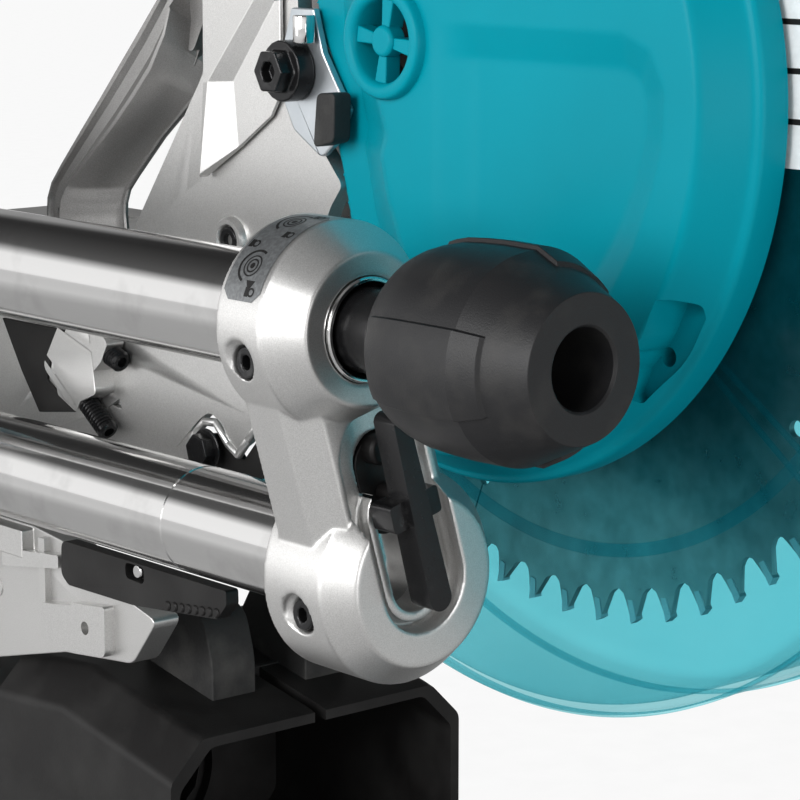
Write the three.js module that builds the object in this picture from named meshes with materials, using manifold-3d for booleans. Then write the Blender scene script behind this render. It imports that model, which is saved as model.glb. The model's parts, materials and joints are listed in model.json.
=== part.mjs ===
// A sliding compound miter saw with fixed forward rails, as separate named pieces.
// Millimetres, +Z up. The origin is on the floor under the turntable's axis.
// +X is the operator's right, +Y points from the operator to the rails' rear end.
import * as THREE from 'three';
import { mergeVertices } from 'three/addons/utils/BufferGeometryUtils.js';
import Module from 'manifold-3d';

// ---- driving dimensions ----
const TABLE_Z = 100;
const BASE_HALF_WIDTH = 322;
const FLOOR_GAP = 26;
const TABLE_R = 150;
const ARM_TIP_Y = -340;
const FENCE_TOP = 146;
const SUB_FENCE_TOP = 205;
const POLE_R = 15;
const UPPER_POLE = [-103, 380];
const LOWER_POLE = [-84, 314];
const POLE_REAR = 385;
const BLADE_Y = -60;
const BLADE_Z = 415;
const BLADE_R = 130;
const TOOTH_COUNT = 60;
const PIVOT_Y = 205;
const PIVOT_Z = 335;
const MOTOR_Y = 8;
const MOTOR_Z = 518;
const MOTOR_R = 46;
const GUARD_Y = -65;
const GUARD_Z = 420;
const GUARD_R = 155;
const COVER_Y = -59.5;
const COVER_Z = 431.5;
const CLEARANCE = 0.3;

const wasm = await Module();
wasm.setup();

// ---- shape tools ----
const AXES = { X: 0, Y: 1, Z: 2 };

// Turns a closed three.js geometry into a solid that can be cut and joined.
function solid(geometry) {
  const bare = geometry.clone();
  bare.deleteAttribute('normal');
  bare.deleteAttribute('uv');
  const merged = mergeVertices(bare, 1e-4);
  const vertProperties = new Float32Array(merged.attributes.position.array);
  const triVerts = new Uint32Array(merged.index.array);
  return new wasm.Manifold(new wasm.Mesh({ numProp: 3, vertProperties, triVerts }));
}

function box(x0, x1, y0, y1, z0, z1) {
  const shape = new THREE.BoxGeometry(x1 - x0, y1 - y0, z1 - z0);
  shape.translate((x0 + x1) / 2, (y0 + y1) / 2, (z0 + z1) / 2);
  return solid(shape);
}

// Corners are [a, b] or [a, b, radius]; a radius rounds that corner off.
function outlineShape(corners) {
  const shape = new THREE.Shape();
  const count = corners.length;
  corners.forEach(([a, b, radius = 0], i) => {
    const corner = new THREE.Vector2(a, b);
    const before = new THREE.Vector2(...corners[(i + count - 1) % count].slice(0, 2));
    const after = new THREE.Vector2(...corners[(i + 1) % count].slice(0, 2));
    const reach = Math.min(radius, before.distanceTo(corner) * 0.45, after.distanceTo(corner) * 0.45);
    const start = corner.clone().add(before.sub(corner).setLength(reach));
    const end = corner.clone().add(after.sub(corner).setLength(reach));
    if (i === 0) shape.moveTo(start.x, start.y);
    else shape.lineTo(start.x, start.y);
    if (reach > 0) shape.quadraticCurveTo(corner.x, corner.y, end.x, end.y);
  });
  shape.closePath();
  return shape;
}

// Extrudes an outline along one axis. The outline is in (Y, Z), (X, Z) or (X, Y).
function plate(axis, corners, low, high) {
  const shape = Array.isArray(corners) ? outlineShape(corners) : corners;
  const options = { depth: high - low, bevelEnabled: false, curveSegments: 4 };
  const body = new THREE.ExtrudeGeometry(shape, options);
  const frame = new THREE.Matrix4();
  if (axis === 'X') frame.set(0, 0, 1, low, 1, 0, 0, 0, 0, 1, 0, 0, 0, 0, 0, 1);
  if (axis === 'Y') frame.set(1, 0, 0, 0, 0, 0, -1, high, 0, 1, 0, 0, 0, 0, 0, 1);
  if (axis === 'Z') frame.makeTranslation(0, 0, low);
  body.applyMatrix4(frame);
  return solid(body);
}

// Turns a profile of [radius, place along the axis] round an axis through a point.
function turned(axis, centre, profile, sides = 24) {
  const points = profile.map(([radius, along]) => new THREE.Vector2(radius, along));
  const area = points.reduce((sum, point, i) => sum + point.cross(points[(i + 1) % points.length]), 0);
  if (area < 0) points.reverse();
  points.push(points[0].clone());
  const body = new THREE.LatheGeometry(points, sides);
  body.rotateY(Math.PI / sides);
  if (axis === 'X') body.rotateZ(-Math.PI / 2);
  if (axis === 'Z') body.rotateX(Math.PI / 2);
  const place = new THREE.Vector3();
  const others = [0, 1, 2].filter((i) => i !== AXES[axis]);
  others.forEach((i, k) => place.setComponent(i, centre[k]));
  body.translate(place.x, place.y, place.z);
  return solid(body);
}

function disc(axis, centre, radius, low, high, sides = 24) {
  return turned(axis, centre, [[0, low], [radius, low], [radius, high], [0, high]], sides);
}

function ring(axis, centre, inner, outer, low, high, sides = 24) {
  return turned(axis, centre, [[inner, low], [outer, low], [outer, high], [inner, high]], sides);
}

// A round bar between two points.
function bar(from, to, radius, sides = 12) {
  const start = new THREE.Vector3(...from);
  const along = new THREE.Vector3(...to).sub(start);
  const body = new THREE.CylinderGeometry(radius, radius, along.length(), sides);
  const middle = start.clone().addScaledVector(along, 0.5);
  const turn = new THREE.Quaternion().setFromUnitVectors(new THREE.Vector3(0, 1, 0), along.normalize());
  body.applyQuaternion(turn);
  body.translate(middle.x, middle.y, middle.z);
  return solid(body);
}

// A flat wedge of a circle as outline points, from one angle to another in degrees.
function sector(centre, radius, from, to, steps = 12) {
  const points = [[...centre]];
  for (let i = 0; i <= steps; i += 1) {
    const angle = THREE.MathUtils.degToRad(from + (to - from) * i / steps);
    points.push([centre[0] + radius * Math.cos(angle), centre[1] + radius * Math.sin(angle)]);
  }
  return points;
}

// A band between two radii as outline points.
function band(centre, inner, outer, from, to, steps = 20) {
  const far = sector(centre, outer, from, to, steps).slice(1);
  const near = sector(centre, inner, from, to, steps).slice(1).reverse();
  return [...far, ...near];
}

function join(...solids) {
  return solids.reduce((sum, piece) => sum.add(piece));
}

function mirrorX(corners) {
  return corners.map(([a, b, radius = 0]) => [-a, b, radius]).reverse();
}

const saw = new THREE.Group();

function addPiece(name, shape, finish) {
  const { vertProperties, triVerts } = shape.getMesh();
  const geometry = new THREE.BufferGeometry();
  geometry.setAttribute('position', new THREE.BufferAttribute(vertProperties, 3));
  geometry.setIndex(new THREE.BufferAttribute(triVerts, 1));
  geometry.computeVertexNormals();
  const piece = new THREE.Mesh(geometry, finish.clone());
  piece.name = name;
  saw.add(piece);
}

function finish(color, roughness, metalness) {
  return new THREE.MeshStandardMaterial({ color, roughness, metalness });
}

const silverPaint = finish(0xb9bbbc, 0.45, 0.6);
const castAluminium = finish(0xa9acae, 0.4, 0.8);
const polishedSteel = finish(0xd8dadc, 0.12, 1);
const zincPlate = finish(0x9aa2ab, 0.3, 0.9);
const blackSteel = finish(0x1c1c1e, 0.4, 0.7);
const blackPlastic = finish(0x2a2a2b, 0.6, 0);
const tealPlastic = finish(0x008c9e, 0.4, 0);
const clearTeal = finish(0x12b2ca, 0.15, 0);
const rubber = finish(0x1b1b1b, 0.85, 0);

// ---- base ----
function baseCasting() {
  const hub = disc('Z', [0, 0], 182, FLOOR_GAP, 80, 44);
  let base = hub;
  for (const side of [-1, 1]) {
    const [inner, outer] = [100 * side, BASE_HALF_WIDTH * side];
    const outline = [[inner, -58], [outer, -58, 14], [outer, 38, 14], [inner, 38]];
    base = base.add(plate('Z', outline, FLOOR_GAP, TABLE_Z));
  }
  const well = disc('Z', [0, 0], TABLE_R + 2, 42, TABLE_Z + 1, 44);
  const armSweep = plate('Z', sector([0, 0], 184, -162.5, -17.5), 80.2, TABLE_Z + 1);
  base = base.subtract(well).subtract(armSweep);
  base = base.add(box(-136, 136, 60, 212, FLOOR_GAP, 38));
  base = base.subtract(box(-84, 84, 178, 213, FLOOR_GAP - 1, 39));
  for (const side of [-1, 1]) {
    const [inner, outer] = [190 * side, 315 * side].sort((a, b) => a - b);
    base = base.subtract(box(inner, outer, -51, 31, FLOOR_GAP - 1, TABLE_Z - 8));
  }
  return base.subtract(disc('Z', [0, 0], 14.4, FLOOR_GAP - 1, 43));
}

addPiece('base_casting', baseCasting(), castAluminium);
const scaleBand = band([0, 0], 158, 178, -160, -20, 28);
addPiece('miter_scale', plate('Z', scaleBand, 80 + CLEARANCE, 82), zincPlate);

const FEET = {
  front_left: [-300, -38],
  front_right: [300, -38],
  rear_left: [-116, 196],
  rear_right: [116, 196],
};
for (const [place, [x, y]] of Object.entries(FEET)) {
  const profile = [[0, 0], [15, 0], [17, 4], [14, FLOOR_GAP - CLEARANCE], [0, FLOOR_GAP - CLEARANCE]];
  addPiece(`foot_${place}`, turned('Z', [x, y], profile, 20), rubber);
}

function fenceCasting() {
  const wall = [[-300, 100.6], [-38, 100.6], [-100, FENCE_TOP], [-300, FENCE_TOP, 6]];
  const bow = [
    [-118, 11], [-106, 50, 12], [106, 50, 12], [118, 11], [86, 11], [78, 41, 8], [-78, 41, 8], [-86, 11],
  ];
  let fence = join(plate('Y', wall, 0, 12), plate('Y', mirrorX(wall), 0, 12), plate('Z', bow, 100.6, 116));
  for (const side of [-1, 1]) {
    for (const x of [166, 226, 286]) {
      const [low, high] = [side * (x - 5), side * (x + 5)].sort((a, b) => a - b);
      const rib = [[11, 100.6], [34, 100.6], [34, 108], [11, 138]];
      fence = fence.add(plate('X', rib, low, high));
    }
    const [inner, outer] = [side * 158, side * 294].sort((a, b) => a - b);
    fence = fence.add(box(inner, outer, 11, 34, 100.6, 107));
  }
  return fence;
}

addPiece('fence_casting', fenceCasting(), castAluminium);

// The left sub-fence is low under the rails, so that they clear it when the arm tilts to the left.
const leftSubFence = [
  [-304, 146.5], [-122, 146.5], [-140, 162, 4], [-236, 162, 8], [-252, 188, 6], [-304, 188, 8],
];
const rightSubFence = [[192, 146.5], [320, 146.5], [320, SUB_FENCE_TOP, 8], [218, SUB_FENCE_TOP, 8]];
addPiece('sub_fence_left', plate('Y', leftSubFence, 0.5, 11.5), castAluminium);
addPiece('sub_fence_right', plate('Y', rightSubFence, 0.5, 11.5), castAluminium);
for (const [side, x] of [['left', -196], ['right', 256]]) {
  const profile = [[0, 12.4], [5, 12.4], [5, 18], [15, 18], [16, 22], [16, 34], [13, 38], [0, 38]];
  addPiece(`fence_knob_${side}`, turned('Y', [x, 128], profile, 16), blackPlastic);
}

// ---- turntable ----
function turntableCasting() {
  const table = disc('Z', [0, 0], TABLE_R, 64, TABLE_Z, 44);
  const pivot = disc('Z', [0, 0], 14, 30, 65);
  const neck = box(-31, 31, -192, -130, 84, TABLE_Z);
  const armSide = [
    [-184, TABLE_Z], [-184, 46, 10], [-318, 46, 16], [ARM_TIP_Y, 62, 8], [ARM_TIP_Y, TABLE_Z, 4],
  ];
  const arm = plate('X', armSide, -31, 31);
  const rearNeck = box(-35, 35, 130, 200, 84, TABLE_Z);
  const bracket = disc('Y', [0, TABLE_Z], 55, 188, 214, 30);
  const bevelPin = disc('Y', [0, TABLE_Z], 12, 213, 266, 24);
  let casting = join(table, pivot, neck, arm, rearNeck, bracket, bevelPin);
  casting = casting.subtract(box(-9, 9, -316, 75, 94, TABLE_Z + 1));
  casting = casting.subtract(box(-5, 5, -312, 70, 78, TABLE_Z));
  casting = casting.subtract(box(-24, 24, -310, -192, 40, 72));
  return casting;
}

addPiece('turntable_casting', turntableCasting(), castAluminium);
for (const [side, low, high] of [['left', -8.6, -2.6], ['right', 2.6, 8.6]]) {
  addPiece(`kerf_board_${side}`, box(low, high, -314, 74, 94.3, 99.8), blackPlastic);
}
const armFoot = turned('Z', [0, -296], [[0, 0.4], [12, 0.4], [12, 6], [5, 6], [5, 60], [0, 60]], 20);
addPiece('arm_foot', armFoot, blackSteel);

function miterGrip() {
  const profile = [
    [0, -385], [13, -385], [18, -378], [20, -362], [16, -349], [9, -343], [9, ARM_TIP_Y - 0.4],
    [0, ARM_TIP_Y - 0.4],
  ];
  return turned('Y', [0, 80], profile, 24);
}

addPiece('miter_grip', miterGrip(), blackPlastic);
const leverSide = [[-322, 40], [-352, 34], [-378, 44, 4], [-376, 50, 3], [-350, 42], [-322, 45.5]];
addPiece('miter_release_lever', plate('X', leverSide, -11, 11), blackPlastic);

// ---- bevel arm and rails ----
function bevelArm() {
  const column = [
    [-40, 50, 12], [40, 50, 12], [57, 100, 30], [28, 180], [-28, 270], [-46, 330], [-62, 392, 12],
    [-88, 412, 10], [-120, 412, 10], [-140, 390, 12], [-138, 350], [-120, 300], [-98, 240], [-60, 150],
    [-57, 100, 20],
  ];
  let arm = join(plate('Y', column, 300, 372), disc('Y', [0, TABLE_Z], 55, 218, 310, 30));
  const pocket = [[-30, 150, 10], [12, 170, 10], [-40, 262, 8], [-78, 262, 8]];
  arm = arm.subtract(plate('Y', pocket, 330, 373));
  arm = arm.subtract(disc('Y', [0, TABLE_Z], 12.4, 217, 268, 24));
  for (const centre of [UPPER_POLE, LOWER_POLE]) {
    arm = arm.subtract(disc('Y', centre, POLE_R + CLEARANCE, 299, 373));
  }
  return arm;
}

addPiece('bevel_arm_casting', bevelArm(), silverPaint);
addPiece('upper_pole', ring('Y', UPPER_POLE, 12.2, POLE_R, -88.6, POLE_REAR), polishedSteel);
addPiece('lower_pole', disc('Y', LOWER_POLE, POLE_R, -78, POLE_REAR), polishedSteel);

const NECK_TILT = Math.atan2(LOWER_POLE[0] - UPPER_POLE[0], UPPER_POLE[1] - LOWER_POLE[1]);

// A point beside the line from the upper rail to the lower one.
function neckPoint(along, aside) {
  const x = UPPER_POLE[0] + along * Math.sin(NECK_TILT) + aside * Math.cos(NECK_TILT);
  const z = UPPER_POLE[1] - along * Math.cos(NECK_TILT) + aside * Math.sin(NECK_TILT);
  return [x, z];
}

function neckSlab(from, to, half, radius = 0) {
  return [
    [...neckPoint(from, -half), radius], [...neckPoint(to, -half), radius],
    [...neckPoint(to, half), radius], [...neckPoint(from, half), radius],
  ];
}

const NECK_LENGTH = Math.hypot(LOWER_POLE[0] - UPPER_POLE[0], LOWER_POLE[1] - UPPER_POLE[1]);

function endBlock() {
  const upper = turned('Y', UPPER_POLE, [[0, -93], [19, -93], [26, -83], [26, -66], [0, -66]], 32);
  const lower = turned('Y', LOWER_POLE, [[0, -92], [22, -92], [27.9, -85], [27.9, -62], [0, -62]], 32);
  const neck = plate('Y', neckSlab(0, NECK_LENGTH, 22), -88, -68);
  let block = join(upper, lower, neck);
  block = block.subtract(plate('Y', neckSlab(26, NECK_LENGTH + 6, 7.5, 7), -95, -78.6));
  block = block.subtract(disc('Y', UPPER_POLE, 11.7, -94, -60));
  block = block.subtract(disc('Y', UPPER_POLE, POLE_R + CLEARANCE, -89, -60));
  block = block.subtract(disc('Y', LOWER_POLE, POLE_R + CLEARANCE, -78.4, -60));
  for (const [x, z] of [UPPER_POLE, LOWER_POLE]) {
    block = block.subtract(bar([x - 40, -74, z - 8], [x, -74, z - 8], 4.4, 16));
  }
  return block;
}

addPiece('end_block', endBlock(), silverPaint);
for (const [place, [x, z], reach] of [['upper', UPPER_POLE, 23], ['lower', LOWER_POLE, 25]]) {
  const screw = bar([x - reach, -74, z - 8], [x - 16.4, -74, z - 8], 4, 16);
  const socket = bar([x - reach - 1, -74, z - 8], [x - reach + 3, -74, z - 8], 2, 6);
  addPiece(`${place}_set_screw`, screw.subtract(socket), blackSteel);
}

function lowerBracket() {
  const side = [
    [62, 268, 4], [75, 252, 3], [112, 248], [160, 236, 6], [298, 200], [299.5, 200], [299.5, 286],
    [128, 286], [112, 284], [78, 272],
  ];
  let bracket = plate('X', side, -56.5, -47);
  bracket = bracket.add(box(-56.5, -18, 250, 299.5, 200, 214));
  bracket = bracket.add(box(-61, -47, 128, 290, 276, 285));
  return bracket.subtract(bar([-62, 98, 262], [-40, 98, 262], 2.4, 12));
}

addPiece('lower_bracket', lowerBracket(), silverPaint);

function releaseLever() {
  const side = [[106, 286.6, 2], [20, 286.6, 2], [20, 277, 3], [66, 272.6], [102, 272.6, 5], [106, 277, 3]];
  const lever = plate('X', side, -62.6, -57);
  return lever.subtract(bar([-63, 64.7, 281], [-56, 64.7, 281], 3.2, 16));
}

addPiece('release_lever', releaseLever(), blackPlastic);

// The nozzle is narrow at the bottom, so that it clears the turntable when the arm tilts.
function nozzleOutline(inset) {
  const [half, top, bottom] = [58 - inset, 231 - inset, 136 + inset];
  const foot = 28 - inset / 2;
  return [
    [-half, 172], [-foot, bottom], [foot, bottom], [half, 172], [half, top - 11], [half - 11, top],
    [-half + 11, top], [-half, top - 11],
  ];
}

function dustNozzle() {
  let nozzle = plate('Y', nozzleOutline(0), 54, 150);
  nozzle = nozzle.subtract(plate('Y', nozzleOutline(4), 53, 146));
  const bladeSlit = box(-2.2, 2.2, 53, 88, 220, 232);
  return nozzle.subtract(bladeSlit).subtract(disc('Y', [0, 188], 26, 140, 151));
}

addPiece('dust_nozzle', dustNozzle(), blackPlastic);

function dustDuct() {
  const path = new THREE.CatmullRomCurve3([
    new THREE.Vector3(0, 140, 190), new THREE.Vector3(4, 200, 192), new THREE.Vector3(30, 250, 198),
    new THREE.Vector3(64, 300, 206), new THREE.Vector3(76, 345, 208), new THREE.Vector3(78, 396, 208),
  ]);
  const tube = (radius, steps) => {
    const shape = new THREE.Shape().absarc(0, 0, radius, 0, Math.PI * 2);
    return solid(new THREE.ExtrudeGeometry(shape, { steps, curveSegments: 6, extrudePath: path }));
  };
  const outer = tube(29, 10);
  const inner = tube(25, 10);
  const span = box(-60, 140, 150.4, POLE_REAR, 100, 300);
  return outer.subtract(inner).intersect(span);
}

addPiece('dust_duct', dustDuct(), blackPlastic);

function dustFlap() {
  const side = [[74, 231.4], [110, 231.4], [109, 250, 4], [100, 264, 6], [79, 262, 6], [74, 246, 4]];
  return join(plate('X', side, -27, -10), plate('X', side, 10, 27), box(-27, 27, 88, 108, 231.4, 238));
}

addPiece('dust_flap', dustFlap(), rubber);

// ---- bevel lock, latch ----
function bevelKnob() {
  const profile = [
    [0, -148], [9.4, -148], [9.4, -168], [17.4, -168], [25.4, -151], [25.4, -130], [22, -118], [19, -114],
    [0, -114],
  ];
  return turned('Y', UPPER_POLE, profile, 30);
}

addPiece('bevel_knob', bevelKnob(), blackPlastic);
const rodProfile = [[0, -113.7], [10.6, -113.7], [10.6, -80], [7, -76], [7, 366], [0, 366]];
addPiece('bevel_lock_rod', turned('Y', UPPER_POLE, rodProfile, 20), blackSteel);

function latchLever() {
  const blade = plate('Y', neckSlab(23, NECK_LENGTH + 1, 3.6, 2), -101, -94);
  const stem = plate('Y', neckSlab(30, NECK_LENGTH - 4, 3), -95, -82);
  const ears = plate('Y', neckSlab(42, 47, 12), -98, -93);
  return join(blade, stem, ears);
}

addPiece('latch_lever', latchLever(), blackSteel);

// ---- carriage ----
const HOUSING_FRONT = 165;
const HOUSING_REAR = 290;
// Two stop bolts go through the lug, pointing forward and down, each from (Y, Z) to (Y, Z).
const BOLT_X = -52;
const STOP_BOLTS = { upper: [[108, 350.6], [84, 343.5]], lower: [[114, 336.5], [91.6, 320.9]] };

function carriageCasting() {
  const upper = disc('Y', UPPER_POLE, 26, HOUSING_FRONT, HOUSING_REAR, 32);
  const lower = disc('Y', LOWER_POLE, 24, HOUSING_FRONT, HOUSING_REAR, 32);
  const web = plate('Y', neckSlab(0, NECK_LENGTH, 15), HOUSING_FRONT, HOUSING_REAR);
  const link = box(-84, -46, HOUSING_FRONT, HOUSING_REAR, 304, 352);
  const side = [
    [91, 331], [88.6, 325, 2], [62.9, 319.6, 3], [50.2, 330.5, 3], [45.2, 333.6, 3], [38.9, 330.7, 2],
    [34.3, 322.5], [28.5, 326.3], [23.6, 331.5, 3], [20, 350, 4], [120, 362, 6], [190, 366, 12],
    [240, 372, 12], [290, 372], [290, 302], [170, 298, 10], [124, 318, 4], [100, 326],
  ];
  const plateLeft = plate('X', side, -48.4, -44.7);
  const pivotLug = plate('X', [[170, 300, 8], [290, 300], [290, 372], [176, 366, 12]], -60, -44.6);
  const rightLug = plate('X', [[205, 300, 14], [290, 300], [290, 372], [240, 372], [180, 352, 16]], 64, 78);
  const bridge = box(-60, 78, 246, HOUSING_REAR, 302, 370);
  const lugSide = [[93, 333, 2], [108, 327, 3], [122, 338, 3], [110, 356, 3], [97, 354, 3]];
  const lug = plate('X', lugSide, -55.6, -48);
  let carriage = join(upper, lower, web, link, plateLeft, pivotLug, rightLug, bridge, lug);
  for (const centre of [UPPER_POLE, LOWER_POLE]) {
    carriage = carriage.subtract(disc('Y', centre, POLE_R + 4.3, HOUSING_FRONT - 1, HOUSING_REAR + 1));
  }
  carriage = carriage.subtract(disc('X', [PIVOT_Y, PIVOT_Z], 9.3, -62, 80, 24));
  carriage = carriage.subtract(box(-40, 60, 262, 280, 301, 360));
  for (const [[y0, z0], [y1, z1]] of Object.values(STOP_BOLTS)) {
    const behind = [BOLT_X, y0 + (y0 - y1) * 0.4, z0 + (z0 - z1) * 0.4];
    carriage = carriage.subtract(bar(behind, [BOLT_X, y1, z1], 3.8, 14));
  }
  return carriage.subtract(bar([-103, 240, 396], [-103, 240, 420], 4.4, 16));
}

addPiece('carriage_casting', carriageCasting(), silverPaint);
for (const [place, centre] of [['upper', UPPER_POLE], ['lower', LOWER_POLE]]) {
  const bush = ring('Y', centre, POLE_R + CLEARANCE, POLE_R + 4, HOUSING_FRONT, HOUSING_REAR);
  addPiece(`${place}_bush`, bush, zincPlate);
}
addPiece('pivot_pin', disc('X', [PIVOT_Y, PIVOT_Z], 9, -61.7, 81, 24), polishedSteel);

for (const [name, [[y0, z0], [y1, z1]]] of Object.entries(STOP_BOLTS)) {
  addPiece(`stop_bolt_${name}`, bar([BOLT_X, y0, z0], [BOLT_X, y1, z1], 3.4, 14), blackSteel);
}

function slideLockKnob() {
  const stem = [[0, 406.3], [4, 406.3], [4, 414], [14, 414], [15, 418], [13, 432], [0, 434]];
  return turned('Z', [-103, 240], stem, 16);
}

addPiece('slide_lock_knob', slideLockKnob(), blackPlastic);

// ---- head ----
function headArm() {
  const hub = disc('X', [PIVOT_Y, PIVOT_Z], 34, -43.6, 63, 30);
  const beam = [[190, 303], [222, 364], [170, 374, 10], [104, 377], [104, 362], [150, 326]];
  const body = plate('X', beam, -36, 60);
  const leftFork = [
    [-5.8, 403.5, 2], [-0.5, 397, 2], [8, 378, 4], [60, 368], [150, 326], [190, 303], [222, 364],
    [170, 374, 10],
    [86, 377], [82, 385.4, 3], [73, 392.8, 3], [59.5, 400, 2], [56, 402], [54, 450, 4], [40, 470, 8],
    [14, 462, 8], [12, 430], [4, 414],
  ];
  const left = plate('X', leftFork, -39.5, -34.5);
  const inset = plate('X', [[50, 378], [102, 378], [65.3, 427.5, 2], [50, 448]], -36, -34.6);
  const rightFork = [
    [150, 326], [190, 303], [222, 364], [170, 374, 10], [140, 386, 6], [128, 430, 10], [100, 470, 10],
    [62, 496, 6], [8, 443], [-6, 427], [-6, 374], [20, 362], [112, 352],
  ];
  const right = plate('X', rightFork, 28, 60);
  let arm = join(hub, body, left, inset, right);
  arm = arm.subtract(disc('X', [PIVOT_Y, PIVOT_Z], 9.3, -45, 64, 24));
  arm = arm.subtract(ring('X', [PIVOT_Y, PIVOT_Z], 14, 24, 40, 64, 24));
  arm = arm.subtract(disc('X', [BLADE_Y, BLADE_Z], 62.6, 27, 61, 30));
  arm = arm.subtract(disc('X', [MOTOR_Y, MOTOR_Z], MOTOR_R + 8, 27, 61, 32));
  return arm.subtract(disc('X', [BLADE_Y, BLADE_Z], 171, -34, 27.7, 44));
}

addPiece('head_arm', headArm(), silverPaint);
addPiece('return_spring', ring('X', [PIVOT_Y, PIVOT_Z], 14.6, 23.4, 41, 62, 20), blackSteel);

function armCover() {
  const outline = [
    [53.5, 400.4, 2], [37.5, 410], [23.3, 420.7], [19, 426.2], [19.3, 440], [19.8, 455], [24, 472, 6],
    [50, 478, 8], [63, 462, 6], [63, 404, 4],
  ];
  const flat = plate('X', outline, -42.4, -39.8);
  const ridge = [
    [52.2, 406], [42, 416], [33, 428], [28, 442], [30, 462, 4], [48, 468, 6], [58, 458, 4], [58, 410, 4],
  ];
  return flat.add(plate('X', ridge, -44.2, -42.3));
}

addPiece('arm_cover', armCover(), silverPaint);

function carryLoop() {
  const leg = [
    [110, 379], [136.4, 379, 2], [136.6, 388, 5], [133.8, 393.8, 4], [105.6, 422.6], [76, 452.4, 6],
    [67, 461], [67, 432], [70.3, 424.3, 3], [89.8, 409.7, 5], [108.5, 393, 5], [110.8, 386, 3],
  ];
  const top = [
    [78, 441], [76, 452.4, 6], [56, 474, 8], [40, 496, 8], [30, 488], [46, 466, 6], [62, 446, 4], [70, 432],
  ];
  return join(plate('X', leg, -43.6, -29.8), plate('X', top, -34.2, -29.8));
}

addPiece('carry_handle', carryLoop(), silverPaint);

const STOP_BOLT = [10.4, 434.7];

function stopPlate() {
  const outline = [
    [17, 426], [12.3, 418], [-0.2, 410.8, 2], [-7.6, 416.4], [-12, 425], [-6, 433], [-1, 440], [3, 452],
    [13, 452], [16.6, 442],
  ];
  const flat = plate('X', outline, -42.4, -40);
  return flat.subtract(disc('X', STOP_BOLT, 4.6, -44, -38, 16));
}

addPiece('stop_plate', stopPlate(), zincPlate);

function stopPlateBolt() {
  const head = disc('X', STOP_BOLT, 6.4, -53, -46.6, 6);
  const flange = disc('X', STOP_BOLT, 8.6, -48.5, -42.8, 20);
  const shank = disc('X', STOP_BOLT, 4.2, -43, -40, 16);
  return join(head, flange, shank).subtract(disc('X', STOP_BOLT, 3, -54, -50, 6));
}

addPiece('stop_plate_bolt', stopPlateBolt(), blackSteel);
const padSide = [[-14, 430, 2], [-6.2, 429.6, 2], [-4.6, 414.5, 2], [-13.6, 416.5, 2]];
addPiece('stop_pad', plate('X', padSide, -49, -42.7), rubber);

// ---- blade case ----
const REAR_EDGE = [
  [12, 540], [11, 480], [5, 445], [3, 432], [0, 420], [-4, 409], [-8, 393], [-17, 372], [-3, 342],
];

function coverSlab(radius, low, high, shift) {
  const whole = disc('X', [COVER_Y, COVER_Z], radius, low, high, 36);
  const keep = REAR_EDGE.map(([y, z]) => [y - shift, z]);
  keep.push([-3 - shift, 300], [-200, 300], [-200, 560], [12 - shift, 560]);
  return whole.intersect(plate('X', keep, low - 1, high + 1));
}

function bladeCase() {
  const rim = coverSlab(102.5, -36, -30.8, 0);
  const flank = coverSlab(101.5, -43.5, -35.9, 22);
  const face = coverSlab(96, -49, -43.4, 34);
  const crown = coverSlab(93, -53, -48.9, 38);
  const boss = disc('X', [-44, 445], 15.4, -56, -40, 28);
  const hood = plate('X', band([BLADE_Y, BLADE_Z], 163.6, 167.6, 30, 152, 18), -33, 27.4);
  const left = plate('X', band([BLADE_Y, BLADE_Z], 92, 164, 62, 152, 14), -33, -30.8);
  const right = plate('X', band([BLADE_Y, BLADE_Z], 100, 164, 30, 152, 14), 25, 27.4);
  let shell = join(rim, flank, face, crown, boss, hood, left, right);
  shell = shell.subtract(disc('X', [-44, 445], 11, -57, -50, 24));
  shell = shell.subtract(disc('X', [BLADE_Y, BLADE_Z], 24, -38, -30, 24));
  const panel = [
    [-58, 449], [-130, 449, 8], [-142, 440, 6], [-140, 414], [-133, 399, 6], [-118, 392, 8], [-60, 400, 10],
  ];
  return shell.subtract(plate('X', panel, -54, -47));
}

addPiece('blade_case', bladeCase(), tealPlastic);

// ---- gearbox, motor and handle ----
const BUTTON_AT = [-26, 466];

function gearHousing() {
  const spindleAt = [BLADE_Y, BLADE_Z];
  const motorAt = [MOTOR_Y, MOTOR_Z];
  const noseProfile = [[0, 8.5], [62, 8.5], [62, 32], [48, 40], [48, 58], [30, 66], [22, 82], [0, 82]];
  const neckSide = [
    [-86, 408, 8], [-46, 396, 10], [0, 440], [56, 500, 12], [50, 560, 20], [-30, 560, 20], [-56, 500],
  ];
  const nose = turned('X', spindleAt, noseProfile, 32);
  const neck = plate('X', neckSide, 40, 80);
  const flange = disc('X', motorAt, MOTOR_R + 4, 34, 84, 30);
  let housing = join(nose, neck, flange);
  housing = housing.subtract(disc('X', spindleAt, 9, 0, 70));
  housing = housing.subtract(disc('X', spindleAt, 40, 16, 54, 30));
  housing = housing.subtract(disc('X', motorAt, 6, 30, 90, 20));
  return housing.subtract(disc('X', BUTTON_AT, 6.4, 68, 90, 20));
}

addPiece('gear_housing', gearHousing(), silverPaint);

function motorHousing() {
  const profile = [
    [MOTOR_R - 5, 84.4], [MOTOR_R + 4, 84.4], [MOTOR_R + 4, 94], [MOTOR_R, 100], [MOTOR_R, 146],
    [MOTOR_R - 5, 146],
  ];
  return turned('X', [MOTOR_Y, MOTOR_Z], profile, 30);
}

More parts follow.
